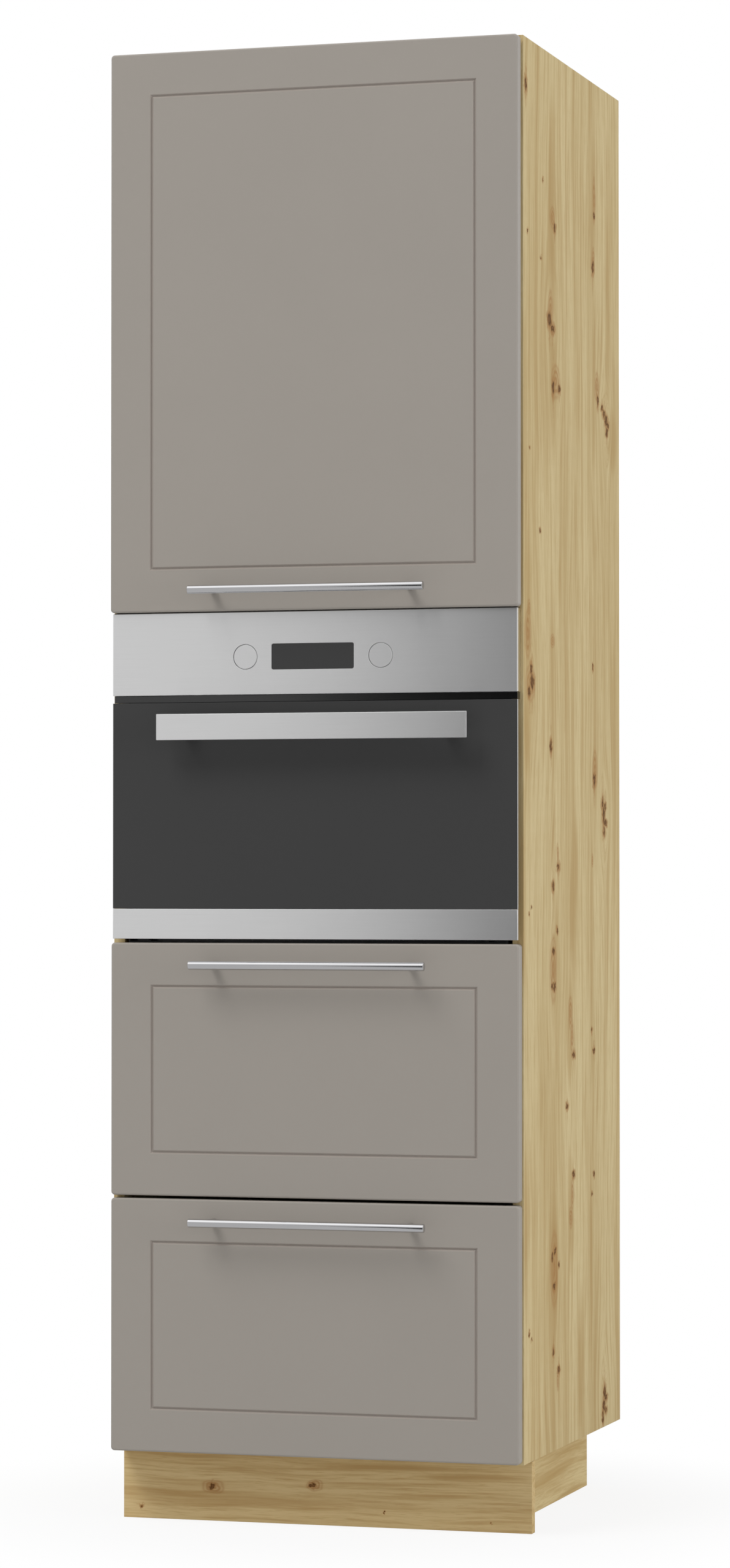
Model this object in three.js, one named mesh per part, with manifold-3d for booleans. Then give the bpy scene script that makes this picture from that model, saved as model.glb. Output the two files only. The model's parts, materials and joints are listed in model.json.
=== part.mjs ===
// Tall oven housing unit: a kitchen column 600 mm wide with a lift-up flap over a built-in
// compact oven, two deep drawers under it, and adjustable feet behind a plinth.
//
// Millimetres, +X to the right, +Y to the back, +Z up. Inside the unit Y = 0 is the plane of the
// carcass's front edges, so fronts lie at negative Y. The unit is then moved along Y so that the
// origin is on the floor, under the middle of the whole object.

import * as THREE from 'three';
import { mergeVertices } from 'three/addons/utils/BufferGeometryUtils.js';
import Module from 'manifold-3d';

const wasm = await Module();
wasm.setup();

// ---------------------------------------------------------------- driving dimensions

// Gap left between two pieces that meet, and round a pin that turns.
const FIT = 0.25;
const PIN_CLEARANCE = 0.3;

// Sides of the polygons that circles are made of, from thin wires to wide discs.
const WIRE_SIDES = 8;
const PIN_SIDES = 16;
const ROUND_SIDES = 24;
const DISC_SIDES = 40;

// Carcass
const CARCASS_WIDTH = 600;
const CARCASS_DEPTH = 566;
const BOARD_THICKNESS = 16;
const BACK_BOARD_THICKNESS = 3;
const BACK_REBATE_WIDTH = 8;
const SHELF_SETBACK = 40;
const SHELF_SIDE_GAP = 1;
const SHELF_PIN_RADIUS = 2.5;
const SHELF_PIN_LENGTH = 8;
const SHELF_PIN_INSET = 37;
const SHELF_FLOOR_HEIGHT = 369;

// Plinth and feet
const PLINTH_HEIGHT = 100;
const PLINTH_SETBACK = 43.5;
const RETURN_INSET = 50.5;
const RETURN_REAR_GAP = 2.5;
const FOOT_RADIUS = 30;
const FOOT_HEIGHT = 9;
const FOOT_CONE_HEIGHT = 9;
const LEG_RADIUS = 14;
const LEG_FLANGE_RADIUS = 32;
const LEG_FLANGE_THICKNESS = 5;
const LEG_NUT_RADIUS = 19;
const LEG_NUT_HEIGHT = 14;
const LEG_TO_RETURN_GAP = 11.5;
const LEG_TO_KICKBOARD_GAP = 12.5;
const REAR_LEG_INSET = 60;

// Fronts: two drawer fronts and the flap
const SIDE_REVEAL = 2;
const LOWER_REVEAL = 2;
const UPPER_REVEAL = 2;
const FRONT_THICKNESS = 18;
const FRONT_EDGE_RADIUS = 3;
const FRONT_EDGE_STEPS = 3;
const FRONT_CORNER_RADIUS = 5;
const FRONT_CORNER_STEPS = 4;
const DRAWER_STANDOFF = 1;
const FLAP_STANDOFF = 5.5;
const DRAWER_FRONT_HEIGHT = 356;
const DRAWER_FRONT_GAP = 4;
const FLAP_HEIGHT = 792;
const GROOVE_MARGIN = 60;
const GROOVE_WIDTH = 4;
const GROOVE_DEPTH = 2;

// Bar handles
const BAR_LENGTH = 343;
const BAR_RADIUS = 6;
const BAR_POST_SPACING = 288;
const BAR_POST_RADIUS = 5;
const BAR_PROJECTION = 38;
const FLAP_BAR_INSET = 29;
const DRAWER_BAR_INSET = 31;

// Drawer boxes and runners
const DRAWER_SIDE_THICKNESS = 14;
const DRAWER_SIDE_HEIGHT = 200;
const DRAWER_BACK_HEIGHT = 160;
const DRAWER_DEPTH = 500;
const DRAWER_BASE_THICKNESS = 10;
const DRAWER_BASE_RISE = 8;
const DRAWER_BOX_RISE = 30;
const DRAWER_SIDE_CLEARANCE = 14;
const RUNNER_SHEET = 2;
const RUNNER_HEIGHT = 42;
const RUNNER_LIP = 8;
const RUNNER_SETBACK = 2;

// Oven front
const OVEN_SIDE_REVEAL = 4;
const OVEN_LOWER_GAP = 5.5;
const TRIM_HEIGHT = 42.5;
const GLASS_HEIGHT = 290;
const VENT_HEIGHT = 10.5;
const FASCIA_HEIGHT = 116;
const FLAP_LOWER_GAP = 1.5;
const OVEN_FRONT_DEPTH = 17.5;
const GLASS_THICKNESS = 4;
const VENT_RECESS = 4.25;
const VENT_SIDE_RECESS = 1;
const SHEET = 2;

// Oven controls
const DISPLAY_WIDTH = 120;
const DISPLAY_HEIGHT = 36;
const DISPLAY_THICKNESS = 4;
const CONTROLS_BELOW_FASCIA_TOP = 63;
const KNOB_SPACING = 198;
const KNOB_RADIUS = 17.25;
const KNOB_GAP = 0.4;
const KNOB_DEPTH = 24;
const KNOB_SOCKET_DEPTH = 14;
const SPINDLE_RADIUS = 4;
const SPINDLE_LENGTH = 58;

// Oven handle
const OVEN_BAR_END_INSET = 70;
const OVEN_BAR_HEIGHT = 36.5;
const OVEN_BAR_THICKNESS = 4;
const OVEN_BAR_PROJECTION = 36;
const OVEN_BAR_BELOW_GLASS_TOP = 17;
const OVEN_BAR_SHIFT = 7;
const OVEN_POST_INSET = 36;
const OVEN_POST_WIDTH = 12;
const OVEN_POST_HEIGHT = 20;

// Oven body
const CASING_SIDE_AIR = 6;
const CASING_TOP_AIR = 5;
const CASING_REAR_AIR = 26;
const CAVITY_SIDE_INSULATION = 48;
const CAVITY_HEIGHT = 230;
const CAVITY_DEPTH = 400;
const CAVITY_FLOOR_ABOVE_GLASS_EDGE = 20;
const RAIL_WIDTH = 8;
const RAIL_HEIGHT = 4;
const RAIL_COUNT = 3;
const RAIL_FRONT_GAP = 14;
const RACK_RAIL = 1;
const RACK_WIRE_RADIUS = 2.5;
const RACK_BAR_RADIUS = 1.5;
const RACK_BAR_COUNT = 13;
const RACK_SIDE_GAP = 2;
const RACK_DEPTH = 350;

// Oven door and its hinge
const DOOR_AXIS_BEHIND_FRONT = 8.75;
const DOOR_AXIS_ABOVE_TRIM_EDGE = 6;
const DOOR_FRAME_SIDE_AIR = 32.5;
const DOOR_PLUG_RISE = 26.5;
const DOOR_PLUG_DROP = 6.5;
const DOOR_FOOT_DEPTH = 10;
const DOOR_SEAL_GAP = 1;
const LINER_FLANGE_Y = 16.5;
const LUG_THICKNESS = 4;
const LUG_RADIUS = 4.25;
const DOOR_PIN_RADIUS = 2;
const DOOR_PIN_LENGTH = 18;
const DOOR_BOSS_LENGTH = 24;
const DOOR_BOSS_HEIGHT = 11.5;

// Flap hinges
const HINGE_SIDE_INSET = 100;
const HINGE_AXIS_INSET = 9;
const HINGE_AXIS_DROP = 10;
const CUP_RADIUS = 17.5;
const CUP_WALL = 1;
const CUP_DEPTH = 13.9;
const CUP_BELOW_AXIS = 10;
const HINGE_PIN_RADIUS = 1.5;
const HINGE_PIN_LENGTH = 26.3;
const HINGE_EYE_RADIUS = 3.2;
const HINGE_ARM_WIDTH = 10;
const HINGE_ARM_THICKNESS = 3;
const HINGE_BLOCK_LENGTH = 44;
const HINGE_BLOCK_START = 22;
const HINGE_ARM_DROP = 21.5;

// The neck of a hinge arm, as points [behind, above] the hinge axis while it is inside the cup.
const HINGE_NECK_IN_CUP = [[0.5, -1.5], [3.4, -9.4]];
const HINGE_NECK_DROP_AT_FLAP = 18;
const HINGE_NECK_STEPS = 14;
const HINGE_NECK_OVERLAP = 1;

// Gas struts: places of their pivots, measured from the hinge axis
const STRUT_FOOT_BEHIND_AXIS = 234.5;
const STRUT_FOOT_BELOW_AXIS = 91;
const STRUT_HEAD_BEHIND_AXIS = 32;
const STRUT_HEAD_BELOW_AXIS = 80;
const STRUT_SIDE_INSET = 14;
const STRUT_BARREL_RADIUS = 9;
const STRUT_ROD_RADIUS = 4;
const STRUT_EYE_RADIUS = 7.5;
const STRUT_EYE_WIDTH = 8;
const STRUT_STUD_RADIUS = 3.5;
const STRUT_BARREL_START = 5;
const STRUT_BORE_START = 13;
const STRUT_ROD_END_MARGIN = 12;
const STRUT_OPEN_PIVOT_GAP = 0.4;
const BRACKET_SHEET = 2;
const BRACKET_HEIGHT = 30;
const BRACKET_FOOT_WIDTH = 20;
const FLAP_OPEN_ANGLE = THREE.MathUtils.degToRad(88);

// ---------------------------------------------------------------- heights and planes worked out

const lowerDrawerBottom = PLINTH_HEIGHT + LOWER_REVEAL;
const upperDrawerBottom = lowerDrawerBottom + DRAWER_FRONT_HEIGHT + DRAWER_FRONT_GAP;
const ovenShelfTop = upperDrawerBottom + DRAWER_FRONT_HEIGHT;
const trimBottom = ovenShelfTop + OVEN_LOWER_GAP;
const glassBottom = trimBottom + TRIM_HEIGHT;
const glassTop = glassBottom + GLASS_HEIGHT;
const fasciaBottom = glassTop + VENT_HEIGHT;
const fasciaTop = fasciaBottom + FASCIA_HEIGHT;
const flapBottom = fasciaTop + FLAP_LOWER_GAP;
const flapTop = flapBottom + FLAP_HEIGHT;
const carcassTop = flapTop + UPPER_REVEAL;

const halfWidth = CARCASS_WIDTH / 2;
const innerHalf = halfWidth - BOARD_THICKNESS;
const boardHalf = innerHalf - FIT;
const boardDepth = CARCASS_DEPTH - BACK_BOARD_THICKNESS - 2 * FIT;
const frontWidth = CARCASS_WIDTH - 2 * SIDE_REVEAL;
const flapBack = -FLAP_STANDOFF;
const flapFront = flapBack - FRONT_THICKNESS;

// The board over the oven lies behind the joint between the fascia and the flap.
const nicheCeilingTop = flapBottom + BOARD_THICKNESS / 2;
const nicheCeilingBottom = nicheCeilingTop - BOARD_THICKNESS;
const topPanelBottom = carcassTop - BOARD_THICKNESS;
const shelfBottom = nicheCeilingTop + SHELF_FLOOR_HEIGHT;

const ovenFrontHalf = halfWidth - OVEN_SIDE_REVEAL;
const ovenBack = -FIT;
const ovenFront = ovenBack - OVEN_FRONT_DEPTH;
const casingHalf = innerHalf - CASING_SIDE_AIR;
const casingRear = CARCASS_DEPTH - CASING_REAR_AIR;
const casingBottom = ovenShelfTop + FIT;
const casingTop = nicheCeilingBottom - CASING_TOP_AIR;
const cavityFloor = glassBottom + CAVITY_FLOOR_ABOVE_GLASS_EDGE;
const doorFrameHalf = casingHalf - DOOR_FRAME_SIDE_AIR;
const doorAxisY = ovenFront + DOOR_AXIS_BEHIND_FRONT;
const doorAxisZ = trimBottom + DOOR_AXIS_ABOVE_TRIM_EDGE;
const doorFrameFront = ovenFront + GLASS_THICKNESS + FIT;

const hingeX = halfWidth - HINGE_SIDE_INSET;
const hingeAxisY = flapBack - HINGE_AXIS_INSET;
const hingeAxisZ = flapTop - HINGE_AXIS_DROP;

// ---------------------------------------------------------------- finishes

function finish(hex, roughness, metalness) {
  return () => new THREE.MeshStandardMaterial({ color: hex, roughness, metalness });
}

const finishes = {
  oak: finish(0xc9ac78, 0.55, 0),
  lacquer: finish(0x969189, 0.5, 0),
  white: finish(0xdedcd6, 0.6, 0),
  hardboard: finish(0xd2bb90, 0.7, 0),
  blackPlastic: finish(0x202022, 0.6, 0),
  chrome: finish(0xd8d9db, 0.12, 1),
  steel: finish(0xb4b4b4, 0.35, 1),
  zinc: finish(0xa6a9ac, 0.4, 1),
  darkGlass: finish(0x3f3f40, 0.15, 0),
  enamel: finish(0x2a2c30, 0.3, 0.1),
  gloss: finish(0x1c1c1d, 0.2, 0),
};

// ---------------------------------------------------------------- solids

function piece(name, geometry, material) {
  const mesh = new THREE.Mesh(geometry, material());
  mesh.name = name;
  return mesh;
}

function at(object, x, y, z) {
  object.position.set(x, y, z);
  return object;
}

function group(...children) {
  const holder = new THREE.Group();
  holder.add(...children);
  return holder;
}

/** A block between two corners given as [x, x], [y, y], [z, z]. */
function block([x0, x1], [y0, y1], [z0, z1]) {
  const geometry = new THREE.BoxGeometry(Math.abs(x1 - x0), Math.abs(y1 - y0), Math.abs(z1 - z0));
  return geometry.translate((x0 + x1) / 2, (y0 + y1) / 2, (z0 + z1) / 2);
}

/** A round rod along X or Y, given its middle. */
function rod(axis, radius, length, [x, y, z], sides = ROUND_SIDES) {
  const geometry = new THREE.CylinderGeometry(radius, radius, length, sides);
  if (axis === 'x') geometry.rotateZ(Math.PI / 2);
  return geometry.translate(x, y, z);
}

/** A profile of [y, z] points pushed along X from x0 to x1. */
function profileAlongX(points, x0, x1) {
  const shape = new THREE.Shape(points.map(([y, z]) => new THREE.Vector2(y, z)));
  const geometry = new THREE.ExtrudeGeometry(shape, { depth: x1 - x0, bevelEnabled: false });
  // The shape's x and y become Y and Z, and its depth becomes X.
  geometry.rotateX(Math.PI / 2).rotateZ(Math.PI / 2);
  return geometry.translate(x0, 0, 0);
}

/** A profile of [x, z] points pushed along Y from y0 to y1. */
function profileAlongY(points, y0, y1) {
  const shape = new THREE.Shape(points.map(([x, z]) => new THREE.Vector2(x, z)));
  const geometry = new THREE.ExtrudeGeometry(shape, { depth: y1 - y0, bevelEnabled: false });
  return geometry.rotateX(Math.PI / 2).translate(0, y1, 0);
}

function toSolid(geometry) {
  const bare = geometry.clone();
  bare.deleteAttribute('normal');
  bare.deleteAttribute('uv');
  const merged = mergeVertices(bare, 1e-4);
  return new wasm.Manifold(new wasm.Mesh({
    numProp: 3,
    vertProperties: Float32Array.from(merged.attributes.position.array),
    triVerts: Uint32Array.from(merged.index.array),
  }));
}

function toGeometry(solid) {
  const mesh = solid.getMesh();
  const geometry = new THREE.BufferGeometry();
  geometry.setAttribute('position', new THREE.BufferAttribute(mesh.vertProperties, 3));
  geometry.setIndex(new THREE.BufferAttribute(mesh.triVerts, 1));
  geometry.computeVertexNormals();
  return geometry;
}

function join(first, ...others) {
  return toGeometry(others.reduce((sum, other) => sum.add(toSolid(other)), toSolid(first)));
}

function cut(first, ...tools) {
  return toGeometry(tools.reduce((rest, tool) => rest.subtract(toSolid(tool)), toSolid(first)));
}

function keep(first, region) {
  return toGeometry(toSolid(first).intersect(toSolid(region)));
}

/** The outline of a strip of even thickness laid along a line of points. */
function stripOutline(points, thickness) {
  const left = [];
  const right = [];
  points.forEach((point, i) => {
    const before = points[Math.max(i - 1, 0)];
    const after = points[Math.min(i + 1, points.length - 1)];
    const along = after.clone().sub(before).normalize();
    const across = new THREE.Vector2(-along.y, along.x).multiplyScalar(thickness / 2);
    left.push(point.clone().add(across));
    right.unshift(point.clone().sub(across));
  });
  return [...left, ...right].map((point) => [point.x, point.y]);
}

// ---------------------------------------------------------------- carcass

/** A side panel with the rebate for the back boards and two pins for the loose shelf. */
function sidePanel(side) {
  const rebateDepth = BACK_BOARD_THICKNESS + FIT;
  const outline = new THREE.Shape([
    [innerHalf, 0],
    [halfWidth, 0],
    [halfWidth, CARCASS_DEPTH],
    [innerHalf + BACK_REBATE_WIDTH, CARCASS_DEPTH],
    [innerHalf + BACK_REBATE_WIDTH, CARCASS_DEPTH - rebateDepth],
    [innerHalf, CARCASS_DEPTH - rebateDepth],
  ].map(([x, y]) => new THREE.Vector2(side * x, y)));
  const depth = carcassTop - PLINTH_HEIGHT;
  const board = new THREE.ExtrudeGeometry(outline, { depth, bevelEnabled: false });
  board.translate(0, 0, PLINTH_HEIGHT);
  const pinLength = SHELF_PIN_LENGTH * 2;
  const pinZ = shelfBottom - FIT - SHELF_PIN_RADIUS;
  const pins = [SHELF_SETBACK + SHELF_PIN_INSET, boardDepth - SHELF_PIN_INSET].map((y) =>
    rod('x', SHELF_PIN_RADIUS, pinLength, [side * innerHalf, y, pinZ], PIN_SIDES));
  return join(board, ...pins);
}

function crossBoard(bottom) {
  return block([-boardHalf, boardHalf], [0, boardDepth], [bottom, bottom + BOARD_THICKNESS]);
}

function backBoard(bottom, top) {
  const half = innerHalf + BACK_REBATE_WIDTH - FIT;
  return block([-half, half], [CARCASS_DEPTH - BACK_BOARD_THICKNESS, CARCASS_DEPTH], [bottom, top]);
}

function looseShelf() {
  const half = innerHalf - SHELF_SIDE_GAP;
  const rear = boardDepth - SHELF_SIDE_GAP;
  return block([-half, half], [SHELF_SETBACK, rear], [shelfBottom, shelfBottom + BOARD_THICKNESS]);
}

const carcass = group(
  piece('side_panel_left', sidePanel(-1), finishes.oak),
  piece('side_panel_right', sidePanel(1), finishes.oak),
  piece('top_panel', crossBoard(topPanelBottom), finishes.oak),
  piece('bottom_panel', crossBoard(PLINTH_HEIGHT), finishes.oak),
  piece('oven_shelf', crossBoard(ovenShelfTop - BOARD_THICKNESS), finishes.oak),
  piece('niche_ceiling', crossBoard(nicheCeilingBottom), finishes.oak),
  piece('upper_back_board', backBoard(nicheCeilingBottom, carcassTop), finishes.hardboard),
  piece('lower_back_board', backBoard(PLINTH_HEIGHT, ovenShelfTop), finishes.hardboard),
  piece('loose_shelf', looseShelf(), finishes.oak),
);

// ---------------------------------------------------------------- plinth and feet

const plinthTop = PLINTH_HEIGHT - FIT;
const kickboardBack = PLINTH_SETBACK + BOARD_THICKNESS;
const returnInner = halfWidth - RETURN_INSET - BOARD_THICKNESS;
const legX = returnInner - LEG_TO_RETURN_GAP - LEG_FLANGE_RADIUS;
const frontLegY = kickboardBack + LEG_TO_KICKBOARD_GAP + LEG_FLANGE_RADIUS;
const rearLegY = CARCASS_DEPTH - REAR_LEG_INSET;

function kickReturn(side) {
  const run = [kickboardBack + FIT, CARCASS_DEPTH - RETURN_REAR_GAP];
  return block([side * (returnInner + BOARD_THICKNESS), side * returnInner], run, [0, plinthTop]);
}

/** A turned foot: disc on the floor, stem, adjusting nut and the flange screwed to the carcass. */
function leg() {
  const nutBottom = plinthTop - LEG_FLANGE_THICKNESS - LEG_NUT_HEIGHT;
  const profile = [
    [0, 0],
    [FOOT_RADIUS, 0],
    [FOOT_RADIUS, FOOT_HEIGHT],
    [LEG_RADIUS, FOOT_HEIGHT + FOOT_CONE_HEIGHT],
    [LEG_RADIUS, nutBottom],
    [LEG_NUT_RADIUS, nutBottom],
    [LEG_NUT_RADIUS, plinthTop - LEG_FLANGE_THICKNESS],
    [LEG_FLANGE_RADIUS, plinthTop - LEG_FLANGE_THICKNESS],
    [LEG_FLANGE_RADIUS, plinthTop],
    [0, plinthTop],
  ].map(([r, z]) => new THREE.Vector2(r, z));
  return new THREE.LatheGeometry(profile, ROUND_SIDES).rotateX(Math.PI / 2);
}

const kickboard = block([-halfWidth, halfWidth], [PLINTH_SETBACK, kickboardBack], [0, plinthTop]);
const plinth = group(
  piece('kickboard', kickboard, finishes.oak),
  piece('kick_return_left', kickReturn(-1), finishes.oak),
  piece('kick_return_right', kickReturn(1), finishes.oak),
);
for (const [row, y] of [['front', frontLegY], ['rear', rearLegY]]) {
  for (const [side, x] of [['left', -legX], ['right', legX]]) {
    plinth.add(at(piece(`leg_${row}_${side}`, leg(), finishes.blackPlastic), x, y, 0));
  }
}

// ---------------------------------------------------------------- fronts and bar handles

/** A milled front: its back lies at Y = 0, its bottom edge at Z = 0, and it faces -Y. */
function frontPanel(height) {
  const half = frontWidth / 2;
  const r = FRONT_CORNER_RADIUS;
  const outline = new THREE.Shape();
  outline.moveTo(-half + r, 0);
  outline.lineTo(half - r, 0);
  outline.absarc(half - r, r, r, -Math.PI / 2, 0);
  outline.lineTo(half, height - r);
  outline.absarc(half - r, height - r, r, 0, Math.PI / 2);
  outline.lineTo(-half + r, height);
  outline.absarc(-half + r, height - r, r, Math.PI / 2, Math.PI);
  outline.lineTo(-half, r);
  outline.absarc(-half + r, r, r, Math.PI, 1.5 * Math.PI);
  const slab = new THREE.ExtrudeGeometry(outline, {
    depth: FRONT_THICKNESS - FRONT_EDGE_RADIUS,
    bevelThickness: FRONT_EDGE_RADIUS,
    bevelSize: FRONT_EDGE_RADIUS,
    bevelOffset: -FRONT_EDGE_RADIUS,
    bevelSegments: FRONT_EDGE_STEPS,
    curveSegments: FRONT_CORNER_STEPS,
  });
  const square = block([-half, half], [0, height], [0, FRONT_THICKNESS]);
  const panel = cut(keep(slab, square), grooveRing(half, height));
  return panel.rotateX(Math.PI / 2);
}

/** The rectangular ring that the milling cutter takes out of a front. */
function grooveRing(half, height) {
  const corner = (inset) => [
    [-half + inset, inset],
    [half - inset, inset],
    [half - inset, height - inset],
    [-half + inset, height - inset],
  ].map(([x, y]) => new THREE.Vector2(x, y));
  const ring = new THREE.Shape(corner(GROOVE_MARGIN));
  ring.holes.push(new THREE.Path(corner(GROOVE_MARGIN + GROOVE_WIDTH)));
  const depth = GROOVE_DEPTH * 2;
  const geometry = new THREE.ExtrudeGeometry(ring, { depth, bevelEnabled: false });
  return geometry.translate(0, 0, FRONT_THICKNESS - GROOVE_DEPTH);
}

/** A round bar on two posts: the front it is screwed to lies at Y = 0, the bar's axis at Z = 0. */
function barHandle() {
  const barY = BAR_RADIUS - BAR_PROJECTION;
  const postLength = -barY - FIT;
  const middleY = barY + postLength / 2;
  const posts = [-BAR_POST_SPACING / 2, BAR_POST_SPACING / 2].map((x) =>
    rod('y', BAR_POST_RADIUS, postLength, [x, middleY, 0], PIN_SIDES));
  return join(rod('x', BAR_RADIUS, BAR_LENGTH, [0, barY, 0]), ...posts);
}

// ---------------------------------------------------------------- flap and its hinges

const cupCentreZ = hingeAxisZ - CUP_BELOW_AXIS;
const cupPocketRadius = CUP_RADIUS + FIT;

function flapDoor() {
  const panel = frontPanel(FLAP_HEIGHT).translate(0, flapBack, flapBottom);
  const pocketDepth = CUP_DEPTH + FIT;
  const pockets = [-hingeX, hingeX].map((x) =>
    rod('y', cupPocketRadius, pocketDepth * 2, [x, flapBack, cupCentreZ], DISC_SIDES));
  return cut(panel, ...pockets);
}

/** A round cup let into the flap's back, with the hinge pin across it. */
function hingeCup() {
  const inner = CUP_RADIUS - CUP_WALL;
  const profile = [
    [0, -CUP_DEPTH],
    [CUP_RADIUS, -CUP_DEPTH],
    [CUP_RADIUS, 0],
    [inner, 0],
    [inner, CUP_WALL - CUP_DEPTH],
    [0, CUP_WALL - CUP_DEPTH],
  ].map(([r, y]) => new THREE.Vector2(r, y));
  const cup = new THREE.LatheGeometry(profile, DISC_SIDES).translate(0, flapBack, cupCentreZ);
  const middle = [0, hingeAxisY, hingeAxisZ];
  return join(cup, rod('x', HINGE_PIN_RADIUS, HINGE_PIN_LENGTH, middle, PIN_SIDES));
}

/** A gooseneck arm: an eye round the hinge pin, a bent neck, and a foot under the top panel. */
function hingeArm() {
  const half = HINGE_ARM_WIDTH / 2;
  const neckLine = new THREE.SplineCurve([
    ...HINGE_NECK_IN_CUP,
    [HINGE_AXIS_INSET, -HINGE_NECK_DROP_AT_FLAP],
    [HINGE_AXIS_INSET + FLAP_STANDOFF, -HINGE_ARM_DROP],
    [HINGE_BLOCK_START + HINGE_NECK_OVERLAP, -HINGE_ARM_DROP],
  ].map(([y, z]) => new THREE.Vector2(y, z))).getPoints(HINGE_NECK_STEPS);
  const neck = profileAlongX(stripOutline(neckLine, HINGE_ARM_THICKNESS), -half, half);
  const footTop = topPanelBottom - FIT - hingeAxisZ;
  const footBottom = -HINGE_ARM_DROP - HINGE_ARM_THICKNESS / 2;
  const footRun = [HINGE_BLOCK_START, HINGE_BLOCK_START + HINGE_BLOCK_LENGTH];
  const foot = block([-half, half], footRun, [footBottom, footTop]);
  const eye = rod('x', HINGE_EYE_RADIUS, HINGE_ARM_WIDTH, [0, 0, 0]);
  const bore = rod('x', HINGE_PIN_RADIUS + PIN_CLEARANCE, HINGE_ARM_WIDTH * 2, [0, 0, 0]);
  return cut(join(neck, eye, foot), bore);
}

const flap = group(
  piece('flap', flapDoor(), finishes.lacquer),
  at(piece('flap_handle', barHandle(), finishes.chrome), 0, flapFront, flapBottom + FLAP_BAR_INSET),
);
for (const [side, x] of [['left', -hingeX], ['right', hingeX]]) {
  flap.add(
    at(piece(`hinge_cup_${side}`, hingeCup(), finishes.zinc), x, 0, 0),
    at(piece(`hinge_arm_${side}`, hingeArm(), finishes.zinc), x, hingeAxisY, hingeAxisZ),
  );
}

// ---------------------------------------------------------------- gas struts

const strutX = innerHalf - STRUT_SIDE_INSET;
const strutFoot = new THREE.Vector2(
  hingeAxisY + STRUT_FOOT_BEHIND_AXIS, hingeAxisZ - STRUT_FOOT_BELOW_AXIS);
const headArm = new THREE.Vector2(STRUT_HEAD_BEHIND_AXIS, -STRUT_HEAD_BELOW_AXIS);
const hingeAxis = new THREE.Vector2(hingeAxisY, hingeAxisZ);
const strutHead = hingeAxis.clone().add(headArm);
const openHead = headArm.clone().rotateAround(new THREE.Vector2(), -FLAP_OPEN_ANGLE).add(hingeAxis);
const strutClosed = strutFoot.distanceTo(strutHead);
const strutStroke = strutFoot.distanceTo(openHead) - strutClosed;
const strutAngle = strutHead.clone().sub(strutFoot).angle();
const barrelEnd = STRUT_BORE_START + strutStroke + STRUT_ROD_END_MARGIN;
const eyeBoreRadius = STRUT_STUD_RADIUS + PIN_CLEARANCE;

function strutEye(y) {
  return rod('x', STRUT_EYE_RADIUS, STRUT_EYE_WIDTH, [0, y, 0]);
}

function strutEyeBore(y) {
  return rod('x', eyeBoreRadius, STRUT_EYE_WIDTH * 2, [0, y, 0]);
}

/** The pressure tube, lying along +Y from the eye at its foot and open at its far end. */
function strutBarrel() {
  const bore = STRUT_ROD_RADIUS + PIN_CLEARANCE;
  const profile = [
    [0, STRUT_BARREL_START],
    [STRUT_BARREL_RADIUS, STRUT_BARREL_START],
    [STRUT_BARREL_RADIUS, barrelEnd],
    [bore, barrelEnd],
    [bore, STRUT_BORE_START],
    [0, STRUT_BORE_START],
  ].map(([r, y]) => new THREE.Vector2(r, y));
  return cut(join(new THREE.LatheGeometry(profile, ROUND_SIDES), strutEye(0)), strutEyeBore(0));
}

function strutRod() {
  const start = STRUT_BORE_START + FIT;
  const middle = [0, (strutClosed + start) / 2, 0];
  const shaft = rod('y', STRUT_ROD_RADIUS, strutClosed - start, middle, PIN_SIDES);
  return cut(join(shaft, strutEye(strutClosed)), strutEyeBore(strutClosed));
}

/** A plate screwed to the side panel, with the stud that the strut's foot turns on. */
function footBracket(side) {
  const wall = innerHalf - FIT;
  const plate = block(
    [side * wall, side * (wall - BRACKET_SHEET)],
    [strutFoot.x - BRACKET_HEIGHT / 2, strutFoot.x + BRACKET_HEIGHT / 2],
    [strutFoot.y - BRACKET_HEIGHT / 2, strutFoot.y + BRACKET_HEIGHT / 2]);
  const studEnd = strutX - STRUT_EYE_WIDTH / 2;
  const studStart = wall - BRACKET_SHEET / 2;
  const middle = [side * (studStart + studEnd) / 2, strutFoot.x, strutFoot.y];
  const stud = rod('x', STRUT_STUD_RADIUS, studStart - studEnd, middle, PIN_SIDES);
  return join(plate, stud);
}

/** An angle screwed to the flap's back; its stud points at the strut's head and stops just short. */
function headBracket(side) {
  const studEnd = strutX - STRUT_EYE_WIDTH / 2 - STRUT_OPEN_PIVOT_GAP;
  const earOuter = studEnd - STRUT_EYE_WIDTH;
  const foot = block(
    [side * earOuter, side * (earOuter - BRACKET_FOOT_WIDTH)],
    [flapBack + FIT, flapBack + FIT + BRACKET_SHEET],
    [strutHead.y - BRACKET_HEIGHT / 2, strutHead.y + BRACKET_HEIGHT / 2]);
  const ear = block(
    [side * earOuter, side * (earOuter - BRACKET_SHEET)],
    [flapBack + FIT, strutHead.x + STRUT_EYE_RADIUS],
    [strutHead.y - STRUT_EYE_RADIUS, strutHead.y + STRUT_EYE_RADIUS]);
  const studStart = earOuter - BRACKET_SHEET / 2;
  const middle = [side * (studStart + studEnd) / 2, strutHead.x, strutHead.y];
  const stud = rod('x', STRUT_STUD_RADIUS, studEnd - studStart, middle, PIN_SIDES);
  return join(foot, ear, stud);
}

const struts = new THREE.Group();
for (const [name, side] of [['left', -1], ['right', 1]]) {
  const strut = group(
    piece(`strut_barrel_${name}`, strutBarrel(), finishes.blackPlastic),
    piece(`strut_rod_${name}`, strutRod(), finishes.chrome),
  );
  strut.rotation.x = strutAngle;
  struts.add(
    at(strut, side * strutX, strutFoot.x, strutFoot.y),
    piece(`strut_foot_bracket_${name}`, footBracket(side), finishes.zinc),
    piece(`strut_head_bracket_${name}`, headBracket(side), finishes.zinc),
  );
}

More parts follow.
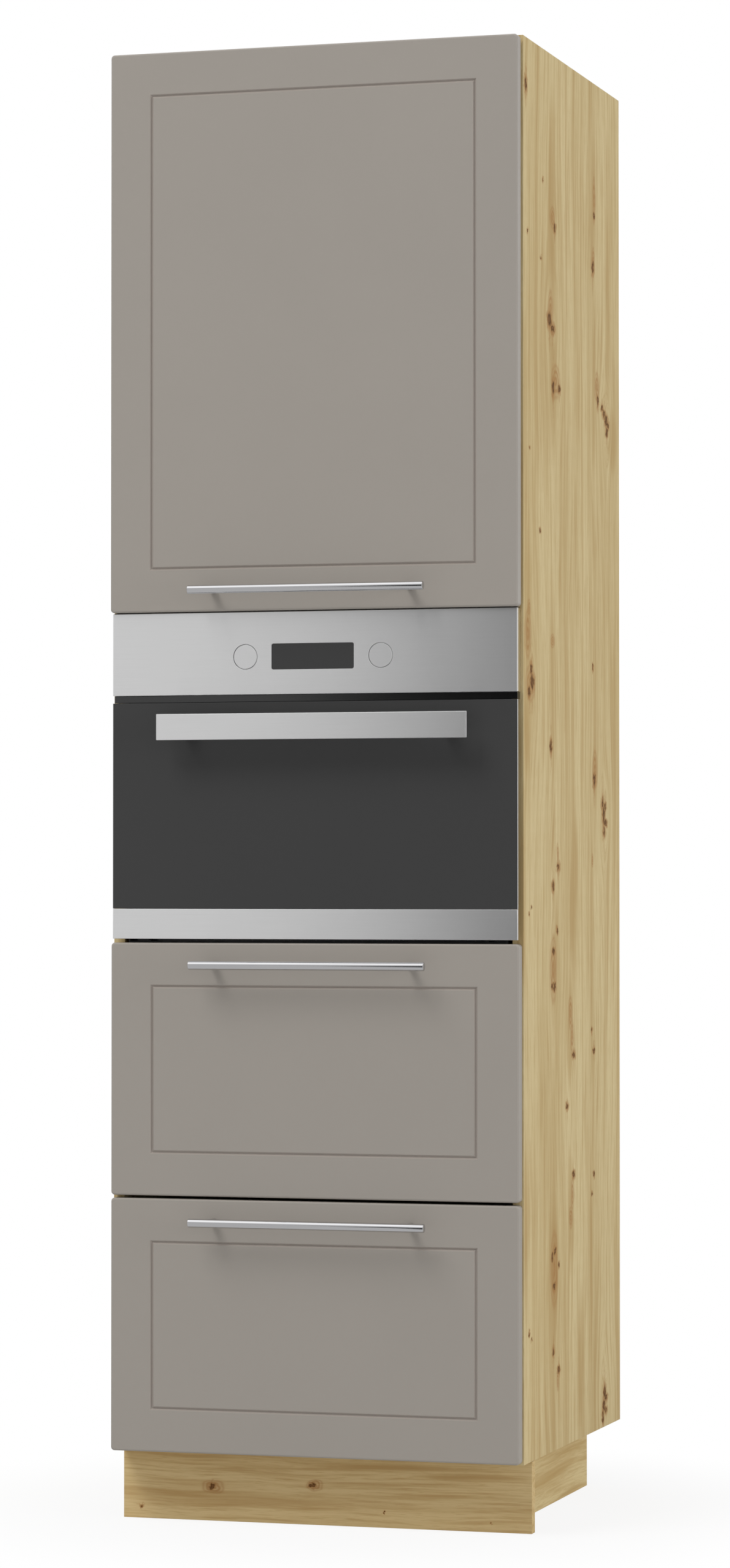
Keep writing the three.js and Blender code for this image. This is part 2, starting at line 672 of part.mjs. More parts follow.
// ---------------------------------------------------------------- drawers

const drawerOuterHalf = innerHalf - DRAWER_SIDE_CLEARANCE;
const drawerInnerHalf = drawerOuterHalf - DRAWER_SIDE_THICKNESS;
const drawerBoxRear = DRAWER_DEPTH - DRAWER_STANDOFF;

/** One drawer, measured from the bottom edge of its front. */
function drawer(name, bottom) {
  const boxFront = FIT - DRAWER_STANDOFF;
  const partHalf = drawerInnerHalf - FIT;
  const baseBottom = DRAWER_BOX_RISE + DRAWER_BASE_RISE;
  const backFront = drawerBoxRear - DRAWER_SIDE_THICKNESS;
  const side = (sign) => block(
    [sign * drawerInnerHalf, sign * drawerOuterHalf],
    [boxFront, drawerBoxRear],
    [DRAWER_BOX_RISE, DRAWER_BOX_RISE + DRAWER_SIDE_HEIGHT]);
  const base = block(
    [-partHalf, partHalf],
    [boxFront, backFront - FIT],
    [baseBottom, baseBottom + DRAWER_BASE_THICKNESS]);
  const back = block(
    [-partHalf, partHalf], [backFront, drawerBoxRear], [baseBottom, baseBottom + DRAWER_BACK_HEIGHT]);
  const front = frontPanel(DRAWER_FRONT_HEIGHT).translate(0, -DRAWER_STANDOFF, 0);
  const handle = piece(`${name}_handle`, barHandle(), finishes.chrome);
  const handleZ = DRAWER_FRONT_HEIGHT - DRAWER_BAR_INSET;
  return at(group(
    piece(`${name}_front`, front, finishes.lacquer),
    at(handle, 0, -DRAWER_STANDOFF - FRONT_THICKNESS, handleZ),
    piece(`${name}_side_left`, side(-1), finishes.white),
    piece(`${name}_side_right`, side(1), finishes.white),
    piece(`${name}_base`, base, finishes.white),
    piece(`${name}_back`, back, finishes.white),
  ), 0, 0, bottom);
}

/** A steel angle on the side panel that the drawer side slides on. */
function runner(side) {
  const wall = innerHalf - FIT;
  const lipTop = DRAWER_BOX_RISE - FIT;
  const lipInner = drawerOuterHalf - RUNNER_LIP;
  const section = [
    [wall, lipTop - RUNNER_SHEET],
    [wall, lipTop + RUNNER_HEIGHT],
    [wall - RUNNER_SHEET, lipTop + RUNNER_HEIGHT],
    [wall - RUNNER_SHEET, lipTop],
    [lipInner, lipTop],
    [lipInner, lipTop - RUNNER_SHEET],
  ].map(([x, z]) => [side * x, z]);
  return profileAlongY(section, RUNNER_SETBACK, RUNNER_SETBACK + DRAWER_DEPTH);
}

const drawers = new THREE.Group();
for (const [name, bottom] of [['upper_drawer', upperDrawerBottom], ['lower_drawer', lowerDrawerBottom]]) {
  drawers.add(
    drawer(name, bottom),
    at(piece(`${name}_runner_left`, runner(-1), finishes.zinc), 0, 0, bottom),
    at(piece(`${name}_runner_right`, runner(1), finishes.zinc), 0, 0, bottom),
  );
}

// ---------------------------------------------------------------- oven body

/** The outer sheet casing, open at the front, with the two lugs that carry the door's pins. */
function ovenCasing() {
  const shell = block([-casingHalf, casingHalf], [0, casingRear], [casingBottom, casingTop]);
  const hollow = block(
    [SHEET - casingHalf, casingHalf - SHEET],
    [-SHEET, casingRear - SHEET],
    [casingBottom + SHEET, casingTop - SHEET]);
  const lugs = [-1, 1].flatMap((side) => doorLug(side));
  return join(cut(shell, hollow), ...lugs);
}

function doorLug(side) {
  const inner = doorFrameHalf + PIN_CLEARANCE;
  const outer = inner + LUG_THICKNESS;
  const [left, right] = side < 0 ? [-outer, -inner] : [inner, outer];
  const rear = LINER_FLANGE_Y - FIT;
  const foot = casingBottom + SHEET / 2;
  const cheek = profileAlongX([
    [doorAxisY, doorAxisZ - LUG_RADIUS],
    [SHEET / 2, doorAxisZ - LUG_RADIUS],
    [SHEET / 2, foot],
    [rear, foot],
    [rear, doorAxisZ + 2 * LUG_RADIUS],
    [doorAxisY, doorAxisZ + LUG_RADIUS],
  ], left, right);
  const pinInner = inner - DOOR_PIN_LENGTH;
  const pinOuter = outer - LUG_THICKNESS / 2;
  const pinMiddle = side * (pinInner + pinOuter) / 2;
  return [
    cheek,
    rod('x', LUG_RADIUS, LUG_THICKNESS, [(left + right) / 2, doorAxisY, doorAxisZ]),
    rod('x', DOOR_PIN_RADIUS, pinOuter - pinInner, [pinMiddle, doorAxisY, doorAxisZ], PIN_SIDES),
  ];
}

const linerInnerHalf = casingHalf - CAVITY_SIDE_INSULATION;
const linerRear = LINER_FLANGE_Y + CAVITY_DEPTH;
const railPitch = CAVITY_HEIGHT / (RAIL_COUNT + 1);

function railBottom(index) {
  return cavityFloor + (index + 1) * railPitch;
}

/** The enamelled cavity: a box behind a flange that fills the casing's mouth, with side rails. */
function ovenLiner() {
  const flangeHalf = casingHalf - SHEET - FIT;
  const flange = block(
    [-flangeHalf, flangeHalf],
    [LINER_FLANGE_Y, LINER_FLANGE_Y + SHEET],
    [casingBottom + SHEET + FIT, fasciaBottom]);
  const outer = block(
    [-linerInnerHalf - SHEET, linerInnerHalf + SHEET],
    [LINER_FLANGE_Y, linerRear + SHEET],
    [cavityFloor - SHEET, cavityFloor + CAVITY_HEIGHT + SHEET]);
  const cavity = block(
    [-linerInnerHalf, linerInnerHalf],
    [LINER_FLANGE_Y - SHEET, linerRear],
    [cavityFloor, cavityFloor + CAVITY_HEIGHT]);
  const rails = [];
  for (let i = 0; i < RAIL_COUNT; i += 1) {
    for (const side of [-1, 1]) {
      rails.push(block(
        [side * (linerInnerHalf - RAIL_WIDTH), side * (linerInnerHalf + SHEET / 2)],
        [LINER_FLANGE_Y + RAIL_FRONT_GAP, linerRear - RAIL_FRONT_GAP],
        [railBottom(i), railBottom(i) + RAIL_HEIGHT]));
    }
  }
  return join(cut(join(flange, outer), cavity), ...rails);
}

/** A wire rack: two side wires, a front and a back wire, and thinner bars from front to back. */
function wireRack() {
  const half = linerInnerHalf - RACK_SIDE_GAP - RACK_WIRE_RADIUS;
  const front = LINER_FLANGE_Y + RAIL_FRONT_GAP + RACK_WIRE_RADIUS;
  const rear = front + RACK_DEPTH;
  const z = railBottom(RACK_RAIL) + RAIL_HEIGHT + FIT + RACK_WIRE_RADIUS;
  const middleY = (front + rear) / 2;
  const endWires = [front, rear].map((y) =>
    rod('x', RACK_WIRE_RADIUS, 2 * (half + RACK_WIRE_RADIUS), [0, y, z], WIRE_SIDES));
  const sideWires = [-half, half].map((x) =>
    rod('y', RACK_WIRE_RADIUS, RACK_DEPTH + RACK_WIRE_RADIUS, [x, middleY, z], WIRE_SIDES));
  const pitch = 2 * half / (RACK_BAR_COUNT + 1);
  const bars = Array.from({ length: RACK_BAR_COUNT }, (_, i) =>
    rod('y', RACK_BAR_RADIUS, RACK_DEPTH, [-half + (i + 1) * pitch, middleY, z], WIRE_SIDES));
  return join(...endWires, ...sideWires, ...bars);
}

// ---------------------------------------------------------------- oven front

const controlsZ = fasciaTop - CONTROLS_BELOW_FASCIA_TOP;
const wellRadius = KNOB_RADIUS + KNOB_GAP;
const wellDepth = KNOB_DEPTH + PIN_CLEARANCE;

/** The steel fascia: a pressed pan, open at the back, with two knob wells and a window. */
function fascia() {
  const pan = block([-ovenFrontHalf, ovenFrontHalf], [ovenFront, ovenBack], [fasciaBottom, fasciaTop]);
  const hollow = block(
    [SHEET - ovenFrontHalf, ovenFrontHalf - SHEET],
    [ovenFront + SHEET, ovenBack + SHEET],
    [fasciaBottom + SHEET, fasciaTop - SHEET]);
  const alongY = (radius, from, to, x) =>
    rod('y', radius, to - from, [x, (from + to) / 2, controlsZ], DISC_SIDES);
  const knobX = [-KNOB_SPACING / 2, KNOB_SPACING / 2];
  const wellBack = ovenFront + wellDepth + SHEET;
  const wells = knobX.map((x) => alongY(wellRadius + SHEET, ovenFront + SHEET / 2, wellBack, x));
  const wellHollows = knobX.map((x) => alongY(wellRadius, ovenFront - SHEET, ovenFront + wellDepth, x));
  const spindleHoles = knobX.map((x) =>
    alongY(SPINDLE_RADIUS + PIN_CLEARANCE, ovenFront, wellBack + SHEET, x));
  const windowHalf = DISPLAY_WIDTH / 2 + FIT;
  const windowRise = DISPLAY_HEIGHT / 2 + FIT;
  const window = block(
    [-windowHalf, windowHalf],
    [ovenFront - SHEET, ovenFront + 2 * SHEET],
    [controlsZ - windowRise, controlsZ + windowRise]);
  return cut(join(cut(pan, hollow), ...wells), ...wellHollows, ...spindleHoles, window);
}

function displayWindow() {
  const half = DISPLAY_WIDTH / 2;
  const rise = DISPLAY_HEIGHT / 2;
  return block(
    [-half, half], [ovenFront, ovenFront + DISPLAY_THICKNESS], [controlsZ - rise, controlsZ + rise]);
}

/** A knob that lies flush in its well, with a blind socket in its back for the spindle. */
function knob() {
  const body = rod('y', KNOB_RADIUS, KNOB_DEPTH, [0, KNOB_DEPTH / 2, 0], DISC_SIDES);
  const bore = SPINDLE_RADIUS + PIN_CLEARANCE;
  return cut(body, rod('y', bore, KNOB_SOCKET_DEPTH * 2, [0, KNOB_DEPTH, 0]));
}

function spindle() {
  const start = KNOB_DEPTH - KNOB_SOCKET_DEPTH + FIT;
  return rod('y', SPINDLE_RADIUS, SPINDLE_LENGTH, [0, start + SPINDLE_LENGTH / 2, 0]);
}

function ventStrip() {
  const half = ovenFrontHalf - VENT_SIDE_RECESS;
  return block(
    [-half, half], [ovenFront + VENT_RECESS, ovenBack], [glassTop + 2 * FIT, fasciaBottom - FIT]);
}

// ---------------------------------------------------------------- oven door

/** The sheet pan behind the glass, with a deeper plug that closes the cavity. */
function doorFrame() {
  const half = doorFrameHalf;
  const footBottom = doorAxisZ - DOOR_FOOT_DEPTH / 2;
  const footBack = doorFrameFront + DOOR_FOOT_DEPTH;
  const plugBack = LINER_FLANGE_Y - DOOR_SEAL_GAP;
  const plugBottom = trimBottom + DOOR_PLUG_RISE;
  const plugTop = glassTop - DOOR_PLUG_DROP;
  const shell = profileAlongX([
    [doorFrameFront, footBottom],
    [footBack, footBottom],
    [footBack, plugBottom],
    [plugBack, plugBottom],
    [plugBack, plugTop],
    [doorFrameFront, plugTop],
  ], -half, half);
  const open = doorFrameFront - SHEET;
  const hollow = profileAlongX([
    [open, footBottom + SHEET],
    [footBack - SHEET, footBottom + SHEET],
    [footBack - SHEET, plugBottom + SHEET],
    [plugBack - SHEET, plugBottom + SHEET],
    [plugBack - SHEET, plugTop - SHEET],
    [open, plugTop - SHEET],
  ], SHEET - half, half - SHEET);
  const boss = (side) => block(
    [side * half, side * (half - DOOR_BOSS_LENGTH)],
    [doorFrameFront, footBack],
    [footBottom, footBottom + DOOR_BOSS_HEIGHT]);
  const boreLength = 2 * (DOOR_PIN_LENGTH + PIN_CLEARANCE);
  const bore = (side) =>
    rod('x', DOOR_PIN_RADIUS + PIN_CLEARANCE, boreLength, [side * half, doorAxisY, doorAxisZ]);
  return cut(join(cut(shell, hollow), boss(-1), boss(1)), bore(-1), bore(1));
}

function frontSheet(bottom, top) {
  return block([-ovenFrontHalf, ovenFrontHalf], [ovenFront, ovenFront + GLASS_THICKNESS], [bottom, top]);
}

/** A flat steel bar on two posts, set a little to the right of the door's middle. */
function ovenHandle() {
  const top = glassTop - OVEN_BAR_BELOW_GLASS_TOP;
  const bottom = top - OVEN_BAR_HEIGHT;
  const front = ovenFront - OVEN_BAR_PROJECTION;
  const halfBar = ovenFrontHalf - OVEN_BAR_END_INSET;
  const bar = block(
    [OVEN_BAR_SHIFT - halfBar, OVEN_BAR_SHIFT + halfBar], [front, front + OVEN_BAR_THICKNESS],
    [bottom, top]);
  const middleZ = (top + bottom) / 2;
  const posts = [-1, 1].map((side) => {
    const x = OVEN_BAR_SHIFT + side * (halfBar - OVEN_POST_INSET);
    return block(
      [x - OVEN_POST_WIDTH / 2, x + OVEN_POST_WIDTH / 2],
      [front + OVEN_BAR_THICKNESS / 2, ovenFront - FIT],
      [middleZ - OVEN_POST_HEIGHT / 2, middleZ + OVEN_POST_HEIGHT / 2]);
  });
  return join(bar, ...posts);
}

const oven = group(
  piece('oven_casing', ovenCasing(), finishes.zinc),
  piece('oven_liner', ovenLiner(), finishes.enamel),
  piece('oven_rack', wireRack(), finishes.chrome),
  piece('oven_fascia', fascia(), finishes.steel),
  piece('oven_display', displayWindow(), finishes.darkGlass),
  piece('oven_vent_strip', ventStrip(), finishes.gloss),
  piece('oven_door_frame', doorFrame(), finishes.enamel),
  piece('oven_door_glass', frontSheet(glassBottom + FIT, glassTop), finishes.darkGlass),
  piece('oven_door_trim', frontSheet(trimBottom, glassBottom), finishes.steel),
  piece('oven_door_handle', ovenHandle(), finishes.steel),
);
for (const [side, x] of [['left', -KNOB_SPACING / 2], ['right', KNOB_SPACING / 2]]) {
  oven.add(at(group(
    piece(`knob_${side}`, knob(), finishes.steel),
    piece(`knob_spindle_${side}`, spindle(), finishes.zinc),
  ), x, ovenFront, controlsZ));
}

// ---------------------------------------------------------------- the whole unit

const unit = group(carcass, plinth, flap, struts, drawers, oven);
unit.name = 'tall_oven_housing';
const foremost = flapFront - BAR_PROJECTION;
unit.position.y = -(foremost + CARCASS_DEPTH) / 2;

export default group(unit);
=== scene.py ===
# %% [markdown]
# # A tall oven housing unit, dressed for a studio photograph
#
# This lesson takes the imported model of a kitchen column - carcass, flap, built-in oven and two
# drawers - and gives each piece its real finish: knotty oak board, warm grey milled fronts,
# brushed steel, chrome and dark glass. Shapes that the plain solids only hint at, such as the
# rounded edges of the fronts, are made again here on the same places.

# %% Set up
import json
import math
import random

import bmesh
import bpy
from mathutils import Matrix, Vector


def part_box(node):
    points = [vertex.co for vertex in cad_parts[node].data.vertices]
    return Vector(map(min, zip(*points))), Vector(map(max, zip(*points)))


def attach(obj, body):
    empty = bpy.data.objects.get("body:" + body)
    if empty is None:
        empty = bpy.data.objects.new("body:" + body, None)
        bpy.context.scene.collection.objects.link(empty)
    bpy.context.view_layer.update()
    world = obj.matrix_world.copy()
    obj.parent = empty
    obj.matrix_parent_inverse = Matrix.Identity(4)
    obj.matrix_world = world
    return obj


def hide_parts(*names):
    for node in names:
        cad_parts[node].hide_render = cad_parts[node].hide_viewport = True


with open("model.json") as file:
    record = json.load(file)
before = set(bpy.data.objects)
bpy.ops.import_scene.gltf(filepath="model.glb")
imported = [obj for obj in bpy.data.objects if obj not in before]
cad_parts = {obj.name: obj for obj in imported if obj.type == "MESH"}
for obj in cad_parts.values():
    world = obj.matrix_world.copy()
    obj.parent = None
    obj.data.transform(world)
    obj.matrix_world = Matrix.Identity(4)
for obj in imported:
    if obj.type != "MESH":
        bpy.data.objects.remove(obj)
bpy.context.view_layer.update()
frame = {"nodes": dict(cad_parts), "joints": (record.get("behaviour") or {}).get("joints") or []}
nodes = frame["nodes"]

MM = 0.001

# %% [markdown]
# ## The camera
#
# The photograph was taken from a little to the right, about as high as the oven, with a long
# lens. Its place and its lens were found from the straight edges of the unit, so they are
# written as plain numbers. Verticals stay nearly vertical, because the camera is almost level.

# %% The camera
camera_data = bpy.data.cameras.new("camera")
camera_data.sensor_width = 36
camera_data.lens = 105.53
camera_data.clip_end = 100
camera = bpy.data.objects.new("camera", camera_data)
camera.location = (1.91213, -6.39687, 0.91002)
camera.rotation_euler = (math.radians(91.1646), 0, math.radians(16.6777))
bpy.context.scene.collection.objects.link(camera)
bpy.context.scene.camera = camera
print("camera looks along", camera.rotation_euler.to_matrix() @ Vector((0, 0, -1)))

# %% [markdown]
# ## Small helpers for materials
#
# Every finish below is a small node tree. A few helpers keep them short: they start a material
# with a Principled shader, add a node with its settings, blend colours, and give a piece's own
# coordinates in metres, so that a grain or a brush line has its real size on every piece.

# %% Helpers for materials
def fill_inputs(tree, node, inputs):
    """Fills a node's inputs with values or links."""
    for key, value in inputs.items():
        if isinstance(value, bpy.types.NodeSocket):
            tree.links.new(value, node.inputs[key])
        else:
            node.inputs[key].default_value = value


def new_material(name, colour, roughness, metallic=0.0, shine=0.5):
    """A material with a Principled shader, its node tree and the shader node."""
    material = bpy.data.materials.new(name)
    material.use_nodes = True
    tree = material.node_tree
    shader = tree.nodes["Principled BSDF"]
    fill_inputs(tree, shader, {
        "Base Color": (*colour, 1), "Roughness": roughness, "Metallic": metallic, "Specular IOR Level": shine,
    })
    return material, tree, shader


def add_node(tree, kind, inputs=None, **settings):
    """Adds a node, sets its properties and fills its inputs."""
    node = tree.nodes.new(kind)
    for key, value in settings.items():
        setattr(node, key, value)
    fill_inputs(tree, node, inputs or {})
    return node


def piece_coordinates(tree, scale):
    """The piece's own coordinates in metres, times a scale for each axis."""
    place = add_node(tree, "ShaderNodeTexCoord").outputs["Object"]
    mapping = add_node(tree, "ShaderNodeMapping", {"Vector": place, "Scale": scale})
    return mapping.outputs["Vector"]


def noise(tree, vector, scale=1.0, detail=2.0, roughness=0.5):
    """A noise texture's value, from 0 to 1 and mostly near a half."""
    inputs = {"Vector": vector, "Scale": scale, "Detail": detail, "Roughness": roughness}
    return add_node(tree, "ShaderNodeTexNoise", inputs).outputs["Fac"]


def remap(tree, value, low, high, to_low, to_high):
    """Moves a value smoothly from one range to another and stops at its ends."""
    inputs = {"Value": value, "From Min": low, "From Max": high, "To Min": to_low, "To Max": to_high}
    return add_node(tree, "ShaderNodeMapRange", inputs, interpolation_type="SMOOTHSTEP").outputs["Result"]


def fade(tree, value, starts, full, share=1.0):
    """A blend factor: 0 where the value is at starts, and the share where it is at full."""
    return remap(tree, value, starts, full, 0.0, share)


def calculate(tree, operation, *values):
    """One Math node."""
    node = add_node(tree, "ShaderNodeMath", dict(enumerate(values)), operation=operation)
    return node.outputs[0]


def blend_colours(tree, factor, first, second):
    """Mixes two colours; a factor of 0 gives the first."""
    first, second = [(*colour, 1) if isinstance(colour, tuple) else colour for colour in (first, second)]
    return add_node(tree, "ShaderNodeMix", {0: factor, 6: first, 7: second}, data_type="RGBA").outputs[2]


def shades(colour, darkest, lightest):
    """A darker and a lighter shade of a colour, each no brighter than white."""
    return tuple(tuple(min(part * factor, 1.0) for part in colour) for factor in (darkest, lightest))


def bump(tree, shader, height, distance, strength=1.0):
    """Gives a shader small hills from a height value; distance is their full height in metres."""
    inputs = {"Height": height, "Distance": distance, "Strength": strength}
    normal = add_node(tree, "ShaderNodeBump", inputs).outputs["Normal"]
    tree.links.new(normal, shader.inputs["Normal"])


print("material helpers ready")

# %% [markdown]
# ## Oak board with knots
#
# The carcass is chipboard with a printed oak decor: pale yellow wood with soft pinkish bands,
# fine lines along the grain, and dark knots with brown flames round them. A photograph of wood
# would be the quick way, but a node tree stays sharp at every distance. The tree reads the
# piece's coordinates turned so that one axis runs along the grain. Noise that is stretched
# along that axis gives bands, streaks, lines and pores. On top lie three kinds of ellipses:
# long pale brown veins, ringed flames, and knots, which push the lines apart round them and
# trail a brown tail up and down. A little noise makes their edges ragged.

# %% Oak colours and sizes
OAK_LIGHT = (0.630, 0.520, 0.298)
OAK_MID = (0.545, 0.428, 0.228)
OAK_TAN = (0.435, 0.300, 0.132)
OAK_BROWN = (0.350, 0.175, 0.062)
OAK_HEART = (0.180, 0.090, 0.038)
OAK_KNOT = (0.085, 0.038, 0.015)
OAK_ROUGHNESS = 0.55
OAK_SHINE = 0.01
GRAIN_ROUGHNESS = 0.55
PORE_DEPTH = 0.06 * MM
PORE_STRENGTH = 0.6

# Each noise: how often it changes in a metre across and along the grain, detail, offset.
BROAD_NOISE = (13, 1.0, 1.0, 9.7)
BAND_NOISE = (40, 1.5, 1.0, 3.1)
STREAK_NOISE = (110, 4.0, 2.0, 4.6)
LINE_NOISE = (300, 11, 3.0, 1.3)
PORE_NOISE = (1300, 45, 2.0, 5.9)
SWAY_NOISE = (4, 3.2, 1.0, 6.4)
FLAME_EDGE_NOISE = (90, 25, 1.0, 8.8)
KNOT_EDGE_NOISE_ACROSS = (150, 110, 2.0, 2.3)
KNOT_EDGE_NOISE_ALONG = (150, 110, 2.0, 7.9)
SWAY = 30 * MM
FLAME_RAGGED = 14 * MM
KNOT_RAGGED = 18 * MM

# Each fade: the value where it starts, the value where it is full, and its share there. The
# value is noise for the grain, and the squared distance from a mark's middle for the marks.
BROAD_FADE = (0.32, 0.68)
BAND_FADES = (((0.50, 0.28, 0.65), OAK_LIGHT), ((0.50, 0.74, 0.62), OAK_TAN))
STREAK_FADES = (((0.49, 0.72, 0.62), OAK_TAN), ((0.46, 0.28, 0.62), OAK_LIGHT))
LINE_FADES = (((0.46, 0.74, 0.62), OAK_TAN), ((0.45, 0.25, 0.40), OAK_LIGHT))
PORE_FADES = (((0.54, 0.72, 0.50), OAK_TAN),)
VEIN_FADE = (1.0, 0.0, 0.75)
FLAME_FADE = (1.8, 0.0, 0.72)
TAIL_FADE = (1.2, 0.0, 0.5)
HALO_FADE = (4.0, 0.5, 0.8)
HEART_FADE = (0.30, 0.05)
CORE_FADE = (1.1, 0.2, 0.92)
RINGS = 2.6

# Each range: the lowest and highest value of a wave, and what they become.
STREAKS_IN_MARKS = (0.3, 0.6, 0.45, 1.0)
RINGS_IN_FLAMES = (0.12, 0.38, 0.45, 1.0)

KNOT_PUSH = 0.8
KNOT_REACH = 5.0
PUSH_SQUEEZE = 0.4
PUSHING_RADIUS = 5 * MM
TAIL_WIDTH = 0.55
TAIL_LENGTH = 4.5
FAR_AWAY = 100.0


def nearest_knot(tree, point, knots):
    """How far a point is from the nearest knot, squared, where 1 is on that knot's edge."""
    nearest = FAR_AWAY
    for across_at, along_at, radius, length in knots:
        local = add_node(tree, "ShaderNodeVectorMath", {
            0: point,
            1: (1 / radius, 1 / length, 0),
            2: (-across_at / radius, -along_at / length, 0),
        }, operation="MULTIPLY_ADD").outputs[0]
        squares = add_node(tree, "ShaderNodeVectorMath", {0: local, 1: local}, operation="DOT_PRODUCT")
        nearest = calculate(tree, "MINIMUM", nearest, squares.outputs["Value"])
    return nearest


def push_lines(tree, side_way, length_way, knots):
    """Bends the coordinate across the grain, so that the lines flow round each knot."""
    pushed = side_way
    for across_at, along_at, radius, length in knots:
        squeeze = PUSH_SQUEEZE / length
        u = calculate(tree, "MULTIPLY_ADD", side_way, 1 / radius, -across_at / radius)
        v = calculate(tree, "MULTIPLY_ADD", length_way, squeeze, -squeeze * along_at)
        weaker = 1.0
        for way in (v, u):
            square = calculate(tree, "MULTIPLY", way, way)
            weaker = calculate(tree, "MULTIPLY_ADD", square, 1 / KNOT_REACH, weaker)
        push = calculate(tree, "DIVIDE", u, weaker)
        pushed = calculate(tree, "MULTIPLY_ADD", push, -KNOT_PUSH * radius, pushed)
    return pushed


# %% Oak
def oak(name, along, across, marks, painted_light_tint=(1, 1, 1), shift=0.0):
    """Oak decor. along and across name the axes; marks holds knots, flames and veins as ellipses."""
    material, tree, shader = new_material(name, OAK_MID, OAK_ROUGHNESS, shine=OAK_SHINE)
    knots, flames, veins = marks
    large_knots = [knot for knot in knots if knot[2] > PUSHING_RADIUS]
    tails = [(side, up, wide * TAIL_WIDTH, long * TAIL_LENGTH) for side, up, wide, long in large_knots]
    place = add_node(tree, "ShaderNodeTexCoord").outputs["Object"]
    axes = add_node(tree, "ShaderNodeSeparateXYZ", {"Vector": place})
    thick = axes.outputs[({"X", "Y", "Z"} - {along, across}).pop()]
    side_way = axes.outputs[across]
    length_way = axes.outputs[along]

    def grain(side, side_scale, length_scale, detail, offset):
        point = add_node(tree, "ShaderNodeCombineXYZ", {
            "X": calculate(tree, "MULTIPLY_ADD", side, side_scale, offset + shift),
            "Y": calculate(tree, "MULTIPLY", thick, side_scale),
            "Z": calculate(tree, "MULTIPLY_ADD", length_way, length_scale, shift),
        }).outputs["Vector"]
        return noise(tree, point, 1.0, detail, GRAIN_ROUGHNESS)

    def moved(value, wave, amount):
        return calculate(tree, "MULTIPLY_ADD", calculate(tree, "SUBTRACT", wave, 0.5), amount, value)

    def on_board(side, length):
        return add_node(tree, "ShaderNodeCombineXYZ", {"X": side, "Y": length}).outputs["Vector"]

    ragged = on_board(moved(side_way, grain(side_way, *KNOT_EDGE_NOISE_ACROSS), KNOT_RAGGED),
                      moved(length_way, grain(side_way, *KNOT_EDGE_NOISE_ALONG), KNOT_RAGGED))
    gently_ragged = on_board(moved(side_way, grain(side_way, *FLAME_EDGE_NOISE), FLAME_RAGGED), length_way)
    sway = grain(side_way, *SWAY_NOISE)
    swaying = on_board(moved(side_way, sway, SWAY), length_way)
    pushed = moved(push_lines(tree, side_way, length_way, large_knots), sway, SWAY)
    streaks = grain(pushed, *STREAK_NOISE)
    pores = grain(pushed, *PORE_NOISE)
    colour = blend_colours(tree, fade(tree, grain(pushed, *BROAD_NOISE), *BROAD_FADE), OAK_LIGHT, OAK_MID)
    for wave, fades in (
        (grain(pushed, *BAND_NOISE), BAND_FADES), (streaks, STREAK_FADES),
        (grain(pushed, *LINE_NOISE), LINE_FADES), (pores, PORE_FADES),
    ):
        for limits, turned_to in fades:
            colour = blend_colours(tree, fade(tree, wave, *limits), colour, turned_to)

    streaked = remap(tree, streaks, *STREAKS_IN_MARKS)
    vein_near = nearest_knot(tree, swaying, veins)
    vein = calculate(tree, "MULTIPLY", fade(tree, vein_near, *VEIN_FADE), streaked)
    colour = blend_colours(tree, vein, colour, OAK_TAN)
    flame_near = nearest_knot(tree, gently_ragged, flames)
    rings = calculate(tree, "MULTIPLY", calculate(tree, "SQRT", flame_near), RINGS)
    ringed = remap(tree, calculate(tree, "PINGPONG", rings, 0.5), *RINGS_IN_FLAMES)
    flame = calculate(tree, "MULTIPLY", fade(tree, flame_near, *FLAME_FADE), ringed)
    tail_near = nearest_knot(tree, ragged, tails)
    tail = calculate(tree, "MULTIPLY", fade(tree, tail_near, *TAIL_FADE), streaked)
    knot_near = nearest_knot(tree, ragged, knots)
    halo = fade(tree, knot_near, *HALO_FADE)
    brown = calculate(tree, "MAXIMUM", calculate(tree, "MAXIMUM", flame, tail), halo)
    colour = blend_colours(tree, brown, colour, OAK_BROWN)
    core = blend_colours(tree, fade(tree, knot_near, *HEART_FADE), OAK_KNOT, OAK_HEART)
    colour = blend_colours(tree, fade(tree, knot_near, *CORE_FADE), colour, core)
    # The tint stands in for light on some boards: it is painted light and shade.
    colour = add_node(tree, "ShaderNodeVectorMath", {0: colour, 1: painted_light_tint}, operation="MULTIPLY").outputs[0]
    tree.links.new(colour, shader.inputs["Base Color"])
    bump(tree, shader, pores, PORE_DEPTH, PORE_STRENGTH)
    return material


